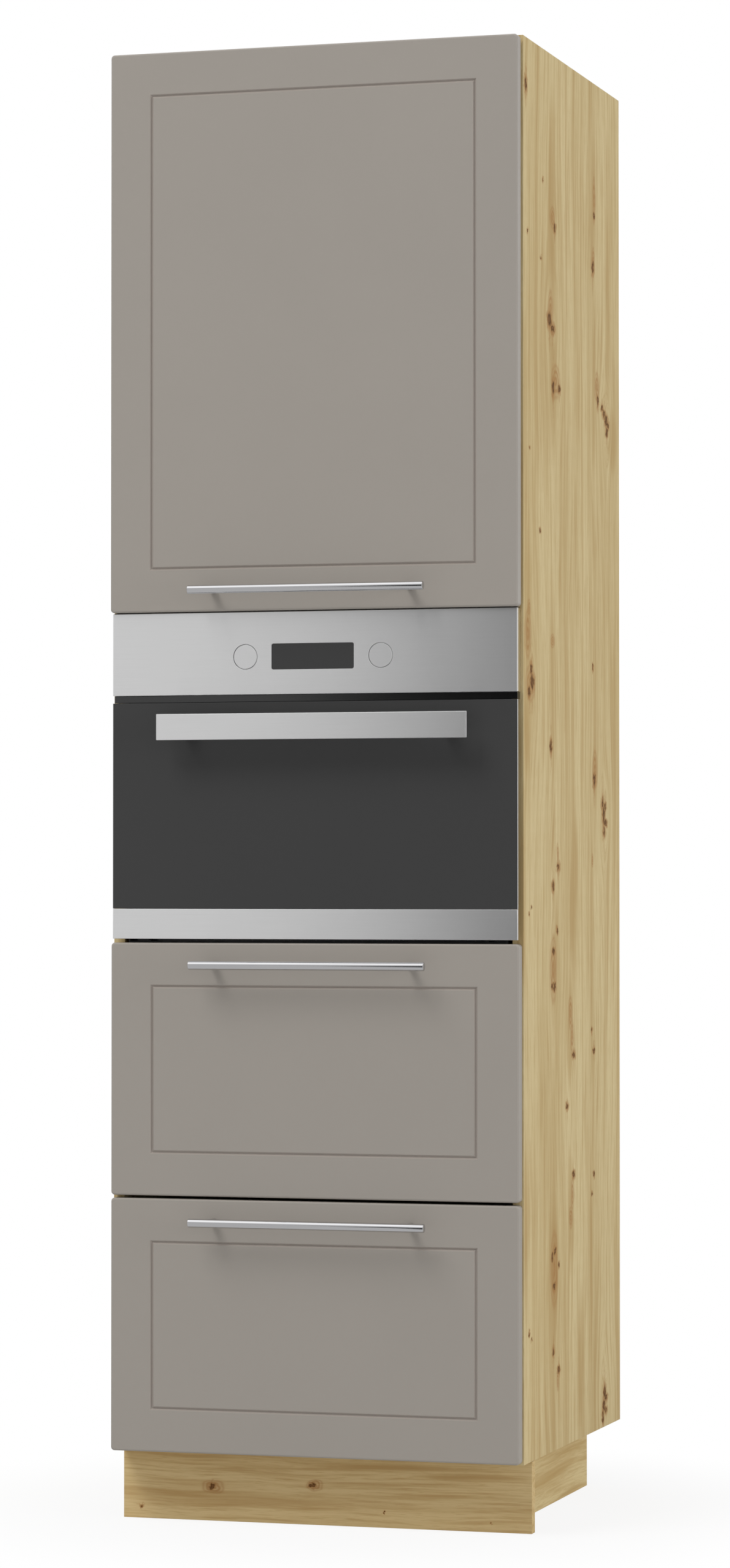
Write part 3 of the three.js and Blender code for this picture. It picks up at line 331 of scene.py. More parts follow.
# %% Marks in their places
# Each mark: its place across and along the board, its half width and its half length, in millimetres.
RIGHT_SIDE_KNOTS = [
    (-238, 2012, 7, 10), (-143, 1892, 3.5, 3), (-76, 1833, 7, 6), (-229, 1809, 3, 3), (-155, 1780, 4.5, 2),
    (158, 1882, 5, 4), (150, 1806, 7, 10), (-106, 1699, 11, 11), (-88, 1689, 11, 7), (-85, 1605, 7.5, 12),
    (-50, 1606, 7, 6), (180, 1612, 5, 10), (206, 1604, 7.5, 4), (219, 1596, 8.5, 6), (232, 1587, 9, 8),
    (243, 1582, 7, 6), (236, 1570, 6, 7), (-218, 1508, 3, 2), (-160, 1397, 4.5, 3), (-204, 1182, 11, 11),
    (-221, 1168, 7.5, 8), (-210, 1200, 6, 10), (147, 1217, 4, 5), (-99, 1095, 6, 10), (157, 1053, 8.5, 10),
    (208, 1019, 7, 9), (214, 1001, 8, 13), (226, 990, 9, 5), (217, 978, 6, 7), (223, 1015, 7, 5),
    (-58, 925, 8, 6), (-88, 897, 7, 7), (-222, 860, 3.5, 2), (-210, 868, 3, 2), (-64, 835, 4, 4),
    (-85, 805, 8, 6), (-80, 755, 7, 6), (-95, 757, 5, 4), (30, 655, 8.5, 5), (152, 657, 6, 4),
    (140, 687, 3.5, 4), (-8, 583, 7, 5), (30, 483, 7, 5), (152, 476, 5, 4), (140, 448, 3.5, 3),
    (-78, 382, 6, 6), (-94, 375, 5.5, 6), (-57, 360, 4, 4), (-83, 332, 8, 6), (-224, 278, 3, 3),
    (-210, 268, 3, 2), (-88, 240, 5.5, 6), (-58, 212, 7.5, 5), (217, 151, 7, 11), (226, 143, 8, 5),
    (212, 133, 8, 10), (224, 124, 7, 5), (206, 115, 6, 10),
]
RIGHT_SIDE_FLAMES = [
    (-238, 2008, 7, 28), (-88, 1846, 15, 16), (152, 1818, 10, 18), (-100, 1716, 15, 26),
    (158, 1905, 10, 35), (-70, 1615, 26, 24), (175, 1632, 14, 22), (-222, 1283, 9, 14),
    (-228, 1248, 18, 34), (-215, 1180, 26, 26), (-90, 1245, 13, 10), (160, 1068, 16, 28), (-62, 943, 7, 16),
    (-88, 780, 20, 48), (12, 715, 12, 24), (22, 684, 11, 24), (145, 935, 6, 10), (22, 455, 11, 22),
    (14, 422, 11, 16), (-83, 356, 22, 54), (-64, 196, 7, 14),
]
RIGHT_SIDE_VEINS = [
    (-90, 1860, 30, 200), (-85, 1620, 26, 150), (152, 1880, 20, 160), (158, 1640, 17, 180),
    (-7, 1880, 6, 280), (245, 1800, 22, 280), (270, 1560, 35, 60), (-90, 1180, 24, 200),
    (158, 1180, 14, 180), (-230, 1300, 18, 260), (-245, 1110, 22, 80), (-85, 950, 16, 120),
    (-75, 800, 30, 130), (137, 740, 9, 230), (12, 690, 22, 110), (35, 880, 30, 140), (-250, 900, 15, 200),
    (136, 350, 9, 210), (15, 430, 22, 110), (-78, 350, 30, 120), (-88, 140, 12, 80), (70, 200, 30, 140),
    (-240, 420, 15, 180),
]
KICKBOARD_KNOTS = [
    (48, -168, 4.5, 6), (56, -17, 3.5, 4.5), (18, -275, 3, 3), (22, 84, 1.6, 1.6), (12, 240, 1.4, 1.6),
]
KICKBOARD_FLAMES = [
    (48, -166, 10, 16), (56, -16, 8, 12),
]
KICKBOARD_VEINS = [
    (35, -100, 7, 200), (85, 80, 8, 140), (73, 210, 7, 100), (58, 60, 4, 80),
]
# The kickboard is tinted a touch darker and warmer: painted shade under the overhang.
KICKBOARD_PAINTED_SHADE = (1.0, 0.93, 0.85)
# The kick returns are tinted lighter: painted light that makes up for their shade.
RETURN_PAINTED_LIGHT = (1.15, 1.15, 1.13)
KICKBOARD_SHIFT = 120.0
LEFT_SIDE_AREA = ((-0.24, 0.28), (0.15, 2.0))
LEVEL_BOARD_AREA = ((-0.2, 0.26), (-0.26, 0.26))
RETURN_AREA = ((0.02, 0.08), (-0.15, 0.28))
SHIFT_PER_SEED = 10.0

# Smallest and largest half width and half length of made-up knots, flames and veins, in metres.
MADE_UP_SIZES = (
    ((0.003, 0.009), (0.003, 0.011)), ((0.007, 0.018), (0.02, 0.05)), ((0.008, 0.025), (0.1, 0.25)),
)


def scattered(seed, count, *ranges):
    """Marks in made-up places, the same on every run."""
    luck = random.Random(seed)
    return [tuple(luck.uniform(*limits) for limits in ranges) for _ in range(count)]


def scattered_oak(name, along, across, seed, counts, places, painted_light_tint=(1, 1, 1)):
    """An oak board that the photograph doesn't show, with made-up knots, flames and veins."""
    marks = [
        scattered(seed + k, count, *places, *sizes)
        for k, (count, sizes) in enumerate(zip(counts, MADE_UP_SIZES))
    ]
    return oak(name, along, across, marks, painted_light_tint, SHIFT_PER_SEED * seed)


def in_metres(*kinds):
    """Knots, flames and veins that are written in millimetres."""
    return [[tuple(part * MM for part in mark) for mark in marks] for marks in kinds]


right_side_marks = in_metres(RIGHT_SIDE_KNOTS, RIGHT_SIDE_FLAMES, RIGHT_SIDE_VEINS)
kickboard_marks = in_metres(KICKBOARD_KNOTS, KICKBOARD_FLAMES, KICKBOARD_VEINS)
oak_right = oak("oak_right_side", "Z", "Y", right_side_marks)
oak_left = scattered_oak("oak_left_side", "Z", "Y", 4, (34, 14, 14), LEFT_SIDE_AREA)
oak_level = scattered_oak("oak_level_boards", "X", "Y", 7, (10, 5, 5), LEVEL_BOARD_AREA)
oak_kick = oak("oak_kickboard", "X", "Z", kickboard_marks, KICKBOARD_PAINTED_SHADE, KICKBOARD_SHIFT)
oak_return = scattered_oak("oak_kick_returns", "Y", "Z", 9, (0, 0, 2), RETURN_AREA, RETURN_PAINTED_LIGHT)
print("knots on the right side:", len(RIGHT_SIDE_KNOTS))

# %% [markdown]
# ## Painted, plated and moulded finishes
#
# The other finishes are nearly even, and a perfectly even colour is what gives a model away.
# Each gets the small unevenness that the real one has: foil on the fronts has a faint orange
# peel, melamine a fine pearl, zinc plate soft clouds. The foil in the groove is a touch darker
# and pinker, as painted shade in the recess. The oven's casing is galvanised sheet: each spangle
# of its coating is a Voronoi cell with its own grey, and its front edge is black, as painted
# shade for the dark gap under the oven door.

# %% Even finishes
CLOUD_SCALE = 6.0
SHADE_GAIN = 1.25
SHADE_OFFSET = -0.75
SOFT_CLOUDS = (0.3, 0.7)
GLOSS_SPREAD = 0.07
GRAIN_STRENGTH = 0.5
ZINC_GREY = (0.62, 0.63, 0.65)
SPANGLE_SCALE = 75.0
SPANGLE_SHADES = (0.86, 1.1)
SPANGLE_ROUGHNESS = (0.28, 0.42)
# The casing's front is black: painted shade where it shows through the gap under the oven door.
CASING_PAINTED_SHADE = (0.006, 0.006, 0.006)
CASING_PAINTED_SHADE_FRONT = -235 * MM
CASING_PAINTED_SHADE_BLEND = 0.5 * MM


def fine_grained(name, colour, roughness, metallic=0.0, grain=900.0, height=0.02 * MM, vary=0.04, shine=0.5):
    """An even finish with a faint fine grain in its colour, its gloss and its height."""
    material, tree, shader = new_material(name, colour, roughness, metallic, shine)
    place = piece_coordinates(tree, (1, 1, 1))
    grains = noise(tree, place, grain, 2.0)
    clouds = noise(tree, place, CLOUD_SCALE, 2.0)
    both = calculate(tree, "ADD", clouds, grains)
    uneven = calculate(tree, "MULTIPLY_ADD", both, SHADE_GAIN, SHADE_OFFSET)
    even = blend_colours(tree, uneven, *shades(colour, 1 - vary, 1 + vary))
    gloss = remap(tree, clouds, *SOFT_CLOUDS, roughness * (1 - GLOSS_SPREAD), roughness * (1 + GLOSS_SPREAD))
    fill_inputs(tree, shader, {"Base Color": even, "Roughness": gloss})
    bump(tree, shader, grains, height, GRAIN_STRENGTH)
    return material


def galvanised(name, colour):
    """Zinc-coated sheet with spangles, black at its front as painted shade for the gap before it."""
    material, tree, shader = new_material(name, colour, sum(SPANGLE_ROUGHNESS) / 2, 1.0)
    place = piece_coordinates(tree, (1, 1, 1))
    cells = add_node(tree, "ShaderNodeTexVoronoi", {"Vector": place, "Scale": SPANGLE_SCALE})
    spangle = add_node(tree, "ShaderNodeSeparateXYZ", {"Vector": cells.outputs["Color"]}).outputs["X"]
    depth = add_node(tree, "ShaderNodeSeparateXYZ", {"Vector": place}).outputs["Y"]
    # Black towards the front: painted shade for the dark gap under the oven door.
    shade_at_front = fade(tree, depth, CASING_PAINTED_SHADE_FRONT + CASING_PAINTED_SHADE_BLEND, CASING_PAINTED_SHADE_FRONT)
    sheet = blend_colours(tree, spangle, *shades(colour, *SPANGLE_SHADES))
    fill_inputs(tree, shader, {
        "Base Color": blend_colours(tree, shade_at_front, sheet, CASING_PAINTED_SHADE),
        "Roughness": remap(tree, spangle, 0.0, 1.0, *SPANGLE_ROUGHNESS),
        "Metallic": calculate(tree, "SUBTRACT", 1.0, shade_at_front),
    })
    return material


lacquer = fine_grained("warm_grey_foil", (0.322, 0.294, 0.262), 0.45, vary=0.012)
# A darker, pinker foil for the groove walls: painted shade in the recess.
groove_shade_foil = fine_grained("groove_painted_shade_foil", (0.318, 0.282, 0.251), 0.5, vary=0.012)
white_board = fine_grained("white_melamine", (0.74, 0.73, 0.70), 0.45, vary=0.015)
hardboard = fine_grained("hardboard_back", (0.56, 0.45, 0.27), 0.6, grain=350.0, vary=0.06)
zinc = fine_grained("zinc_plate", ZINC_GREY, 0.3, 1.0, grain=120.0, vary=0.06)
black_paint = fine_grained("black_paint", (0.012, 0.012, 0.013), 0.3)
black_plastic = fine_grained("black_plastic", (0.02, 0.02, 0.021), 0.5, grain=2500.0, height=0.04 * MM)
chrome = fine_grained("chrome", (0.62, 0.62, 0.63), 0.06, 1.0, grain=40.0, height=0.002 * MM, vary=0.01)
ground_edge = fine_grained("ground_glass_edge", (0.52, 0.52, 0.51), 0.4, grain=1800.0)
vent_black = fine_grained("vent_black", (0.006, 0.006, 0.006), 0.1, grain=600.0, height=0.004 * MM, shine=1.0)
lamp_glass = fine_grained("lamp_glass", (0.62, 0.63, 0.57), 0.15)
gasket_rubber = fine_grained("gasket_rubber", (0.018, 0.018, 0.019), 0.65, grain=1500.0)
inner_glass = fine_grained("inner_glass", (0.016, 0.016, 0.018), 0.06, grain=30.0, height=0.002 * MM)
casing_plate = galvanised("casing_plate", ZINC_GREY)
print("even finishes:", lacquer.name, white_board.name, zinc.name, chrome.name)

# %% [markdown]
# ## Brushed steel
#
# Brushing leaves fine scratches, here from left to right. They smear a reflection up and down
# and hardly sideways. The shader's anisotropy does that: the smear runs along the tangent, so
# the tangent points up. It leans a hair, because a tangent must not stand square on a face.
# Stretched noise adds the scratches themselves, which show only from close by.

# %% Brushed steel
SMEAR_WAY = (0.02, 0.03, 1)
BRUSH_SCALE = (9, 2500, 2500)
BRUSH_SHADES = (0.93, 1.05)
BRUSH_DEPTH = 0.01 * MM


def brushed(name, colour, roughness):
    """Steel with brush lines along X."""
    material, tree, shader = new_material(name, colour, roughness, 1.0)
    smear = add_node(tree, "ShaderNodeVectorTransform", {"Vector": SMEAR_WAY},
                     vector_type="VECTOR", convert_from="OBJECT", convert_to="WORLD")
    scratches = noise(tree, piece_coordinates(tree, BRUSH_SCALE), 1.0, 3.0, 0.7)
    uneven = blend_colours(tree, scratches, *shades(colour, *BRUSH_SHADES))
    fill_inputs(tree, shader, {"Base Color": uneven, "Anisotropic": 1.0, "Tangent": smear.outputs["Vector"]})
    bump(tree, shader, scratches, BRUSH_DEPTH)
    return material


steel = brushed("brushed_steel", (0.92, 0.92, 0.92), 0.287)
print("steel roughness:", steel.node_tree.nodes["Principled BSDF"].inputs["Roughness"].default_value)

# %% [markdown]
# ## Dark glass and enamel
#
# The door's pane and the display are printed dark grey on the inside, so they read as one
# opaque smooth grey. The oven's cavity is coated with dark enamel that has pale specks: small
# Voronoi cells, of which only the middles are kept.

# %% Glass and enamel
GLASS_SHINE = 0.12
GLASS_SHADES = ((0.048, 0.048, 0.048), (0.053, 0.053, 0.053))
ENAMEL_GREY = (0.02, 0.022, 0.026)
SPECK_COLOUR = (0.35, 0.36, 0.38)
SPECK_SCALE = 420.0
SPECK_FADE = (0.2, 0.1)

dark_glass, glass_tree, glass_shader = new_material("dark_glass", (0.05, 0.05, 0.05), 0.22, shine=GLASS_SHINE)
glass_clouds = noise(glass_tree, piece_coordinates(glass_tree, (1, 1, 1)), 3.0, 2.0)
cloudy = blend_colours(glass_tree, glass_clouds, *GLASS_SHADES)
glass_tree.links.new(cloudy, glass_shader.inputs["Base Color"])

enamel, enamel_tree, enamel_shader = new_material("speckled_enamel", ENAMEL_GREY, 0.2)
speck_inputs = {"Vector": piece_coordinates(enamel_tree, (1, 1, 1)), "Scale": SPECK_SCALE}
cells = add_node(enamel_tree, "ShaderNodeTexVoronoi", speck_inputs)
specks = fade(enamel_tree, cells.outputs["Distance"], *SPECK_FADE)
speckled = blend_colours(enamel_tree, specks, ENAMEL_GREY, SPECK_COLOUR)
enamel_tree.links.new(speckled, enamel_shader.inputs["Base Color"])

# %% [markdown]
# ## Dressing the boards
#
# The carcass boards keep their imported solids. Real boards have a thin edge band that is
# rounded by about half a millimetre, and this tiny rounding catches the light along every
# edge. A Weld and a Bevel modifier add it without touching the mesh itself.

# %% Boards and other carried-over solids
def left_and_right(*names):
    """The names of pieces that the unit has on its left and on its right."""
    return [f"{name}_{side}" for name in names for side in ("left", "right")]


CARRIED = {
    oak_right: ["side_panel_right"],
    oak_left: ["side_panel_left"],
    oak_level: ["top_panel", "bottom_panel", "oven_shelf", "niche_ceiling", "loose_shelf"],
    oak_kick: ["kickboard"],
    oak_return: left_and_right("kick_return"),
    hardboard: ["upper_back_board", "lower_back_board"],
    white_board: left_and_right("upper_drawer_side", "lower_drawer_side")
    + ["upper_drawer_base", "upper_drawer_back", "lower_drawer_base", "lower_drawer_back"],
    casing_plate: ["oven_casing"],
    zinc: left_and_right("upper_drawer_runner", "lower_drawer_runner", "hinge_arm", "hinge_cup",
                         "strut_foot_bracket", "strut_head_bracket"),
    enamel: ["oven_liner", "oven_door_frame"],
}
SOFT_EDGED = {oak_right, oak_left, oak_level, oak_kick, oak_return, white_board}
BAND_ROUNDING = 0.5 * MM
WELD_DISTANCE = 0.01 * MM
SHARP_ANGLE = math.radians(40)


def soften_edges(obj):
    """Rounds a carried-over solid's edges with modifiers."""
    weld = obj.modifiers.new("weld", "WELD")
    weld.merge_threshold = WELD_DISTANCE
    bevel = obj.modifiers.new("bevel", "BEVEL")
    bevel.width = BAND_ROUNDING
    bevel.segments = 2
    bevel.limit_method = "ANGLE"
    bevel.angle_limit = SHARP_ANGLE


for material, names in CARRIED.items():
    for name in names:
        solid = nodes[name]
        solid.data.materials.clear()
        solid.data.materials.append(material)
        if material in SOFT_EDGED:
            soften_edges(solid)
print("carried over:", sum(len(names) for names in CARRIED.values()))

# %% [markdown]
# ## Small helpers for shapes
#
# New pieces start as a cube or a short profile line in a bmesh, and operators shape them. Two
# helpers cover most of the unit: a block whose edges are rounded, and a turned piece that is
# spun from a profile. A third makes an object of the finished bmesh. It rides on its body,
# stands for its imported solid and takes its finishes as its materials.

# %% Helpers for shapes
SMOOTH_ANGLE = math.radians(35)
NEARLY_ZERO = 1e-6


def at(x, y, z):
    """A place, as a matrix."""
    return Matrix.Translation((x, y, z))


def middle_of(node):
    """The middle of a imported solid's box."""
    low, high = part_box(node)
    return (low + high) / 2


def add_block(bm, low, high):
    """A block between two corners; returns its vertices."""
    low, high = Vector(low), Vector(high)
    size = high - low
    place = Matrix.Translation((low + high) / 2) @ Matrix.Diagonal((*size, 1))
    return bmesh.ops.create_cube(bm, size=1, matrix=place)["verts"]


def new_block(low, high):
    """A bmesh that starts as a block between two corners."""
    bm = bmesh.new()
    add_block(bm, low, high)
    bm.normal_update()
    return bm


def round_edges(bm, edges, width, segments):
    """Bevels edges with a round profile."""
    bmesh.ops.bevel(bm, geom=list(edges), offset=width, offset_type="OFFSET", segments=segments,
                    profile=0.5, affect="EDGES", clamp_overlap=True, material=-1)


def edges_of(verts):
    """All edges that end at some vertices."""
    return {edge for vert in verts for edge in vert.link_edges}


def edges_along_y(bm, longer_than=0.5 * MM):
    """The edges that run from front to back."""
    return [e for e in bm.edges if abs(e.verts[0].co.y - e.verts[1].co.y) > longer_than]


def outline_edges(bm, depth):
    """The outline of the flat face that lies at a depth along Y."""
    bm.normal_update()
    return [
        e for e in bm.edges
        if all(abs(v.co.y - depth) < NEARLY_ZERO for v in e.verts)
        and min(abs(f.normal.y) for f in e.link_faces) < 0.5
    ]


def in_mm(points, start=0.0):
    """A profile that is written in millimetres, with its distances counted from a start."""
    return [(radius * MM, start + along * MM) for radius, along in points]


def chamfered(radius, start, end, chamfer):
    """The profile of a round bar with a small chamfer at both ends."""
    return [
        (0, start), (radius - chamfer, start), (radius, start + chamfer),
        (radius, end - chamfer), (radius - chamfer, end), (0, end),
    ]


def add_turned(bm, profile, steps, place):
    """Spins a profile of (radius, distance) points round the Y axis and adds it, put in place."""
    lathe = bmesh.new()
    verts = [lathe.verts.new((radius, along, 0)) for radius, along in profile]
    edges = [lathe.edges.new(pair) for pair in zip(verts, verts[1:])]
    bmesh.ops.spin(lathe, geom=verts + edges, cent=(0, 0, 0), axis=(0, 1, 0),
                   angle=math.tau, steps=steps, use_merge=True)
    bmesh.ops.remove_doubles(lathe, verts=lathe.verts, dist=NEARLY_ZERO)
    bmesh.ops.transform(lathe, matrix=place, verts=lathe.verts)
    turned = bpy.data.meshes.new("turned")
    lathe.to_mesh(turned)
    lathe.free()
    bm.from_mesh(turned)
    bpy.data.meshes.remove(turned)


def shade(obj):
    """Smooth shading that keeps sharp edges sharp and large faces flat."""
    obj.data.shade_smooth()
    obj.data.set_sharp_from_angle(angle=SMOOTH_ANGLE)
    flat_faces = obj.modifiers.new("flat_faces", "WEIGHTED_NORMAL")
    flat_faces.mode = "FACE_AREA"
    flat_faces.keep_sharp = True


def object_from(name, bm, *materials):
    """Turns a bmesh into an object of the scene."""
    mesh = bpy.data.meshes.new(name)
    bm.to_mesh(mesh)
    bm.free()
    for material in materials:
        mesh.materials.append(material)
    obj = bpy.data.objects.new(name, mesh)
    bpy.context.scene.collection.objects.link(obj)
    return obj


def finish_piece(name, bm, materials, body, *stands_for):
    """Makes a piece that rides on a body and hides the solids it stands for."""
    bmesh.ops.recalc_face_normals(bm, faces=bm.faces)
    obj = object_from(name, bm, *materials)
    shade(obj)
    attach(obj, body)
    if stands_for:
        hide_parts(*stands_for)
    return obj


def loose_cutter(bm):
    """A loose object for cut_out; it is gone once it has been used."""
    bmesh.ops.recalc_face_normals(bm, faces=bm.faces)
    return object_from("cutter", bm)


def turned_piece(name, profile, steps, place, material, body, *stands_for):
    """A piece that is one profile, spun round its axis."""
    bm = bmesh.new()
    add_turned(bm, profile, steps, place)
    return finish_piece(name, bm, [material], body, *stands_for)


def turned_cutter(profile, steps, place):
    """A cutter that is one profile, spun round its axis."""
    bm = bmesh.new()
    add_turned(bm, profile, steps, place)
    return loose_cutter(bm)


def cut_out(obj, cutters):
    """Takes the cutters' shapes out of a piece and keeps the result as its mesh."""
    obj.modifiers.clear()
    for cutter in cutters:
        modifier = obj.modifiers.new("cut", "BOOLEAN")
        modifier.object = cutter
        modifier.solver = "EXACT"
    depsgraph = bpy.context.evaluated_depsgraph_get()
    cut_mesh = bpy.data.meshes.new_from_object(obj.evaluated_get(depsgraph))
    obj.modifiers.clear()
    obj.data = cut_mesh
    shade(obj)
    for cutter in cutters:
        bpy.data.objects.remove(cutter)


print("shape helpers ready")

# %% [markdown]
# ## Milled fronts
#
# Each front is a fibreboard slab wrapped in foil: its corners and front edges are rounded, and
# a cutter has run a thin groove round it, six centimetres in. The groove is drawn into the
# front face with three insets. The line between its two walls is pushed in to make a shallow
# V, and a bevel softens all its lines. Its walls get a darker, pinker foil as painted shade in
# the recess, and the back is plain white board. The flap also has two round pockets for its
# hinge cups.

# %% The three fronts
GROOVE_MARGIN = 59 * MM
GROOVE_OUTER_WALL = 2.3 * MM
GROOVE_INNER_WALL = 2.7 * MM
GROOVE_DEPTH = 2.7 * MM
GROOVE_SOFTNESS = 0.5 * MM
CORNER_RADIUS = 5 * MM
EDGE_RADIUS = 3 * MM
POCKET_RADIUS = 17.7 * MM
POCKET_DEPTH = 14.1 * MM
CUP_RADIUS = 17.5 * MM
CUT_AHEAD = 5 * MM
JUST_BELOW = 0.1 * MM
FRONT_MATERIALS = (lacquer, white_board, groove_shade_foil)


def facing(bm, direction):
    """The face that looks most in a direction."""
    return max(bm.faces, key=lambda f: f.normal.dot(Vector(direction)) * 1000 + f.calc_area())


def front_material(face, low, high):
    """The index of a face's material on a milled front."""
    centre = face.calc_center_median()
    to_edge = min(centre.x - low.x, high.x - centre.x, centre.z - low.z, high.z - centre.z)
    if face.normal.y > 0.9 and centre.y > high.y - NEARLY_ZERO:
        return FRONT_MATERIALS.index(white_board)
    # Faces inside the groove get the darker foil, which is painted shade.
    if centre.y > low.y + JUST_BELOW and to_edge > GROOVE_MARGIN / 2:
        return FRONT_MATERIALS.index(groove_shade_foil)
    return FRONT_MATERIALS.index(lacquer)


def milled_front(node, body):
    """A front with its groove, in the place of its packed slab."""
    low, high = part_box(node)
    bm = new_block(low, high)
    front = facing(bm, (0, -1, 0))
    groove_lines = []
    for step in (GROOVE_MARGIN, GROOVE_OUTER_WALL, GROOVE_INNER_WALL):
        bmesh.ops.inset_region(bm, faces=[front], thickness=step, use_even_offset=True)
        groove_lines.append(list(front.edges))
    bottom_verts = {v for edge in groove_lines[1] for v in edge.verts}
    bmesh.ops.translate(bm, vec=(0, GROOVE_DEPTH, 0), verts=list(bottom_verts))
    round_edges(bm, [e for line in groove_lines for e in line], GROOVE_SOFTNESS, 3)
    round_edges(bm, edges_along_y(bm, (high.y - low.y) / 2), CORNER_RADIUS, 6)
    round_edges(bm, outline_edges(bm, low.y), EDGE_RADIUS, 5)
    bm.normal_update()
    for face in bm.faces:
        face.material_index = front_material(face, low, high)
    return finish_piece(f"milled_{node}", bm, FRONT_MATERIALS, body, node)


for body in ("upper_drawer", "lower_drawer"):
    milled_front(f"{body}_front", body)
flap_front = milled_front("flap", "flap")
flap_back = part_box("flap")[1].y
pocket_profile = [
    (0, -POCKET_DEPTH), (POCKET_RADIUS, -POCKET_DEPTH), (POCKET_RADIUS, CUT_AHEAD), (0, CUT_AHEAD),
]
pockets = []
for side in ("left", "right"):
    cup = f"hinge_cup_{side}"
    place = at(middle_of(cup).x, flap_back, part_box(cup)[0].z + CUP_RADIUS)
    pockets.append(turned_cutter(pocket_profile, 64, place))
cut_out(flap_front, pockets)
print("flap faces:", len(flap_front.data.polygons))

# %% [markdown]
# ## Bar handles
#
# A bar handle is a chromed steel bar on two short posts. A cylinder with many sides and a tiny
# bevel round each end is enough: it is the reflections that make it.

# %% Bar handles
BAR_RADIUS = 6 * MM
BAR_CHAMFER = 0.6 * MM
BAR_POST_SPACING = 288 * MM
BAR_POST_RADIUS = 5 * MM
BAR_POST_CHAMFER = 0.4 * MM


def bar_handle(node, body):
    """A bar on two posts, in the place of its packed handle."""
    low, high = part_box(node)
    axis_y = low.y + BAR_RADIUS
    axis_z = middle_of(node).z
    half = (high.x - low.x) / 2
    bm = bmesh.new()
    along_x = at(0, axis_y, axis_z) @ Matrix.Rotation(-math.pi / 2, 4, "Z")
    add_turned(bm, chamfered(BAR_RADIUS, -half, half, BAR_CHAMFER), 96, along_x)
    for side in (-1, 1):
        add_turned(bm, [
            (0, axis_y), (BAR_POST_RADIUS, axis_y), (BAR_POST_RADIUS, high.y - BAR_POST_CHAMFER),
            (BAR_POST_RADIUS - BAR_POST_CHAMFER, high.y), (0, high.y),
        ], 48, at(side * BAR_POST_SPACING / 2, 0, axis_z))
    return finish_piece(f"chrome_{node}", bm, [chrome], body, node)


HANDLED = ("flap", "upper_drawer", "lower_drawer")
for body in HANDLED:
    bar_handle(f"{body}_handle", body)
print("bar handles:", len(HANDLED))

# %% [markdown]
# ## The oven's front
#
# The control panel is a pressed steel pan with two round wells, in which the knobs lie flush,
# and a window for the display. Each well's rim is slightly flared and each knob has a small
# chamfer, and these two rings are all that shows of the knobs from the front.

# %% Control panel
SHEET = 2 * MM
PAN_DEPTH = 17.5 * MM
PRESSED_EDGE = 0.8 * MM
KNOB_SPACING = 198 * MM
KNOB_RADIUS = 17.25 * MM
WELL_RADIUS = 17.65 * MM
WELL_FLARE = 0.6 * MM
WINDOW_GAP = 0.25 * MM
WINDOW_CORNER = 2.5 * MM
TOP_LIP = 1 * MM
TOP_LIP_END = 17 * MM
TOP_LIP_EDGE = 0.2 * MM

panel_low, panel_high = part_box("oven_fascia")
display_low, display_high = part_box("oven_display")
front_y = panel_low.y
controls_z = middle_of("knob_left").z

bm = new_block(panel_low, (panel_high.x, front_y + PAN_DEPTH, panel_high.z))
bmesh.ops.delete(bm, geom=[facing(bm, (0, 1, 0))], context="FACES_ONLY")
round_edges(bm, [e for e in bm.edges if len(e.link_faces) == 2], PRESSED_EDGE, 3)
bm.normal_update()
bmesh.ops.solidify(bm, geom=list(bm.faces), thickness=SHEET)
panel = finish_piece("control_panel", bm, [steel], "carcass", "oven_fascia")

well_mouth = [
    (0, -SHEET), (WELL_RADIUS + WELL_FLARE, -SHEET), (WELL_RADIUS + WELL_FLARE, 0),
    (WELL_RADIUS, WELL_FLARE), (WELL_RADIUS, SHEET + MM), (0, SHEET + MM),
]
cutters = [
    turned_cutter(well_mouth, 96, at(side * KNOB_SPACING / 2, front_y, controls_z))
    for side in (-1, 1)
]
bm = new_block((display_low.x - WINDOW_GAP, front_y - SHEET, display_low.z - WINDOW_GAP),
               (display_high.x + WINDOW_GAP, front_y + 2 * SHEET, display_high.z + WINDOW_GAP))
round_edges(bm, edges_along_y(bm), WINDOW_CORNER + WINDOW_GAP, 8)
cutters.append(loose_cutter(bm))
cut_out(panel, cutters)
# A thin black strip in the gap under the flap: painted shade, a dark strip where the gap is only in shade.
shade_strip = new_block((panel_low.x + TOP_LIP, front_y + 2 * SHEET, panel_high.z),
                (panel_high.x - TOP_LIP, front_y + TOP_LIP_END, panel_high.z + TOP_LIP))
round_edges(shade_strip, shade_strip.edges[:], TOP_LIP_EDGE, 2)
finish_piece("shade_strip_above_panel", shade_strip, [black_plastic], "carcass")
print("control panel faces:", len(panel.data.polygons))

# %% Knob wells and knobs
WELL_START = 1.9 * MM
WELL_DEPTH = 24.3 * MM
KNOB_DEPTH = 24 * MM
KNOB_CHAMFER = 0.7 * MM
KNOB_BORE = 4.3 * MM
KNOB_BORE_START = 10 * MM
SPINDLE_RADIUS = 4 * MM
SPINDLE_CHAMFER = 0.4 * MM

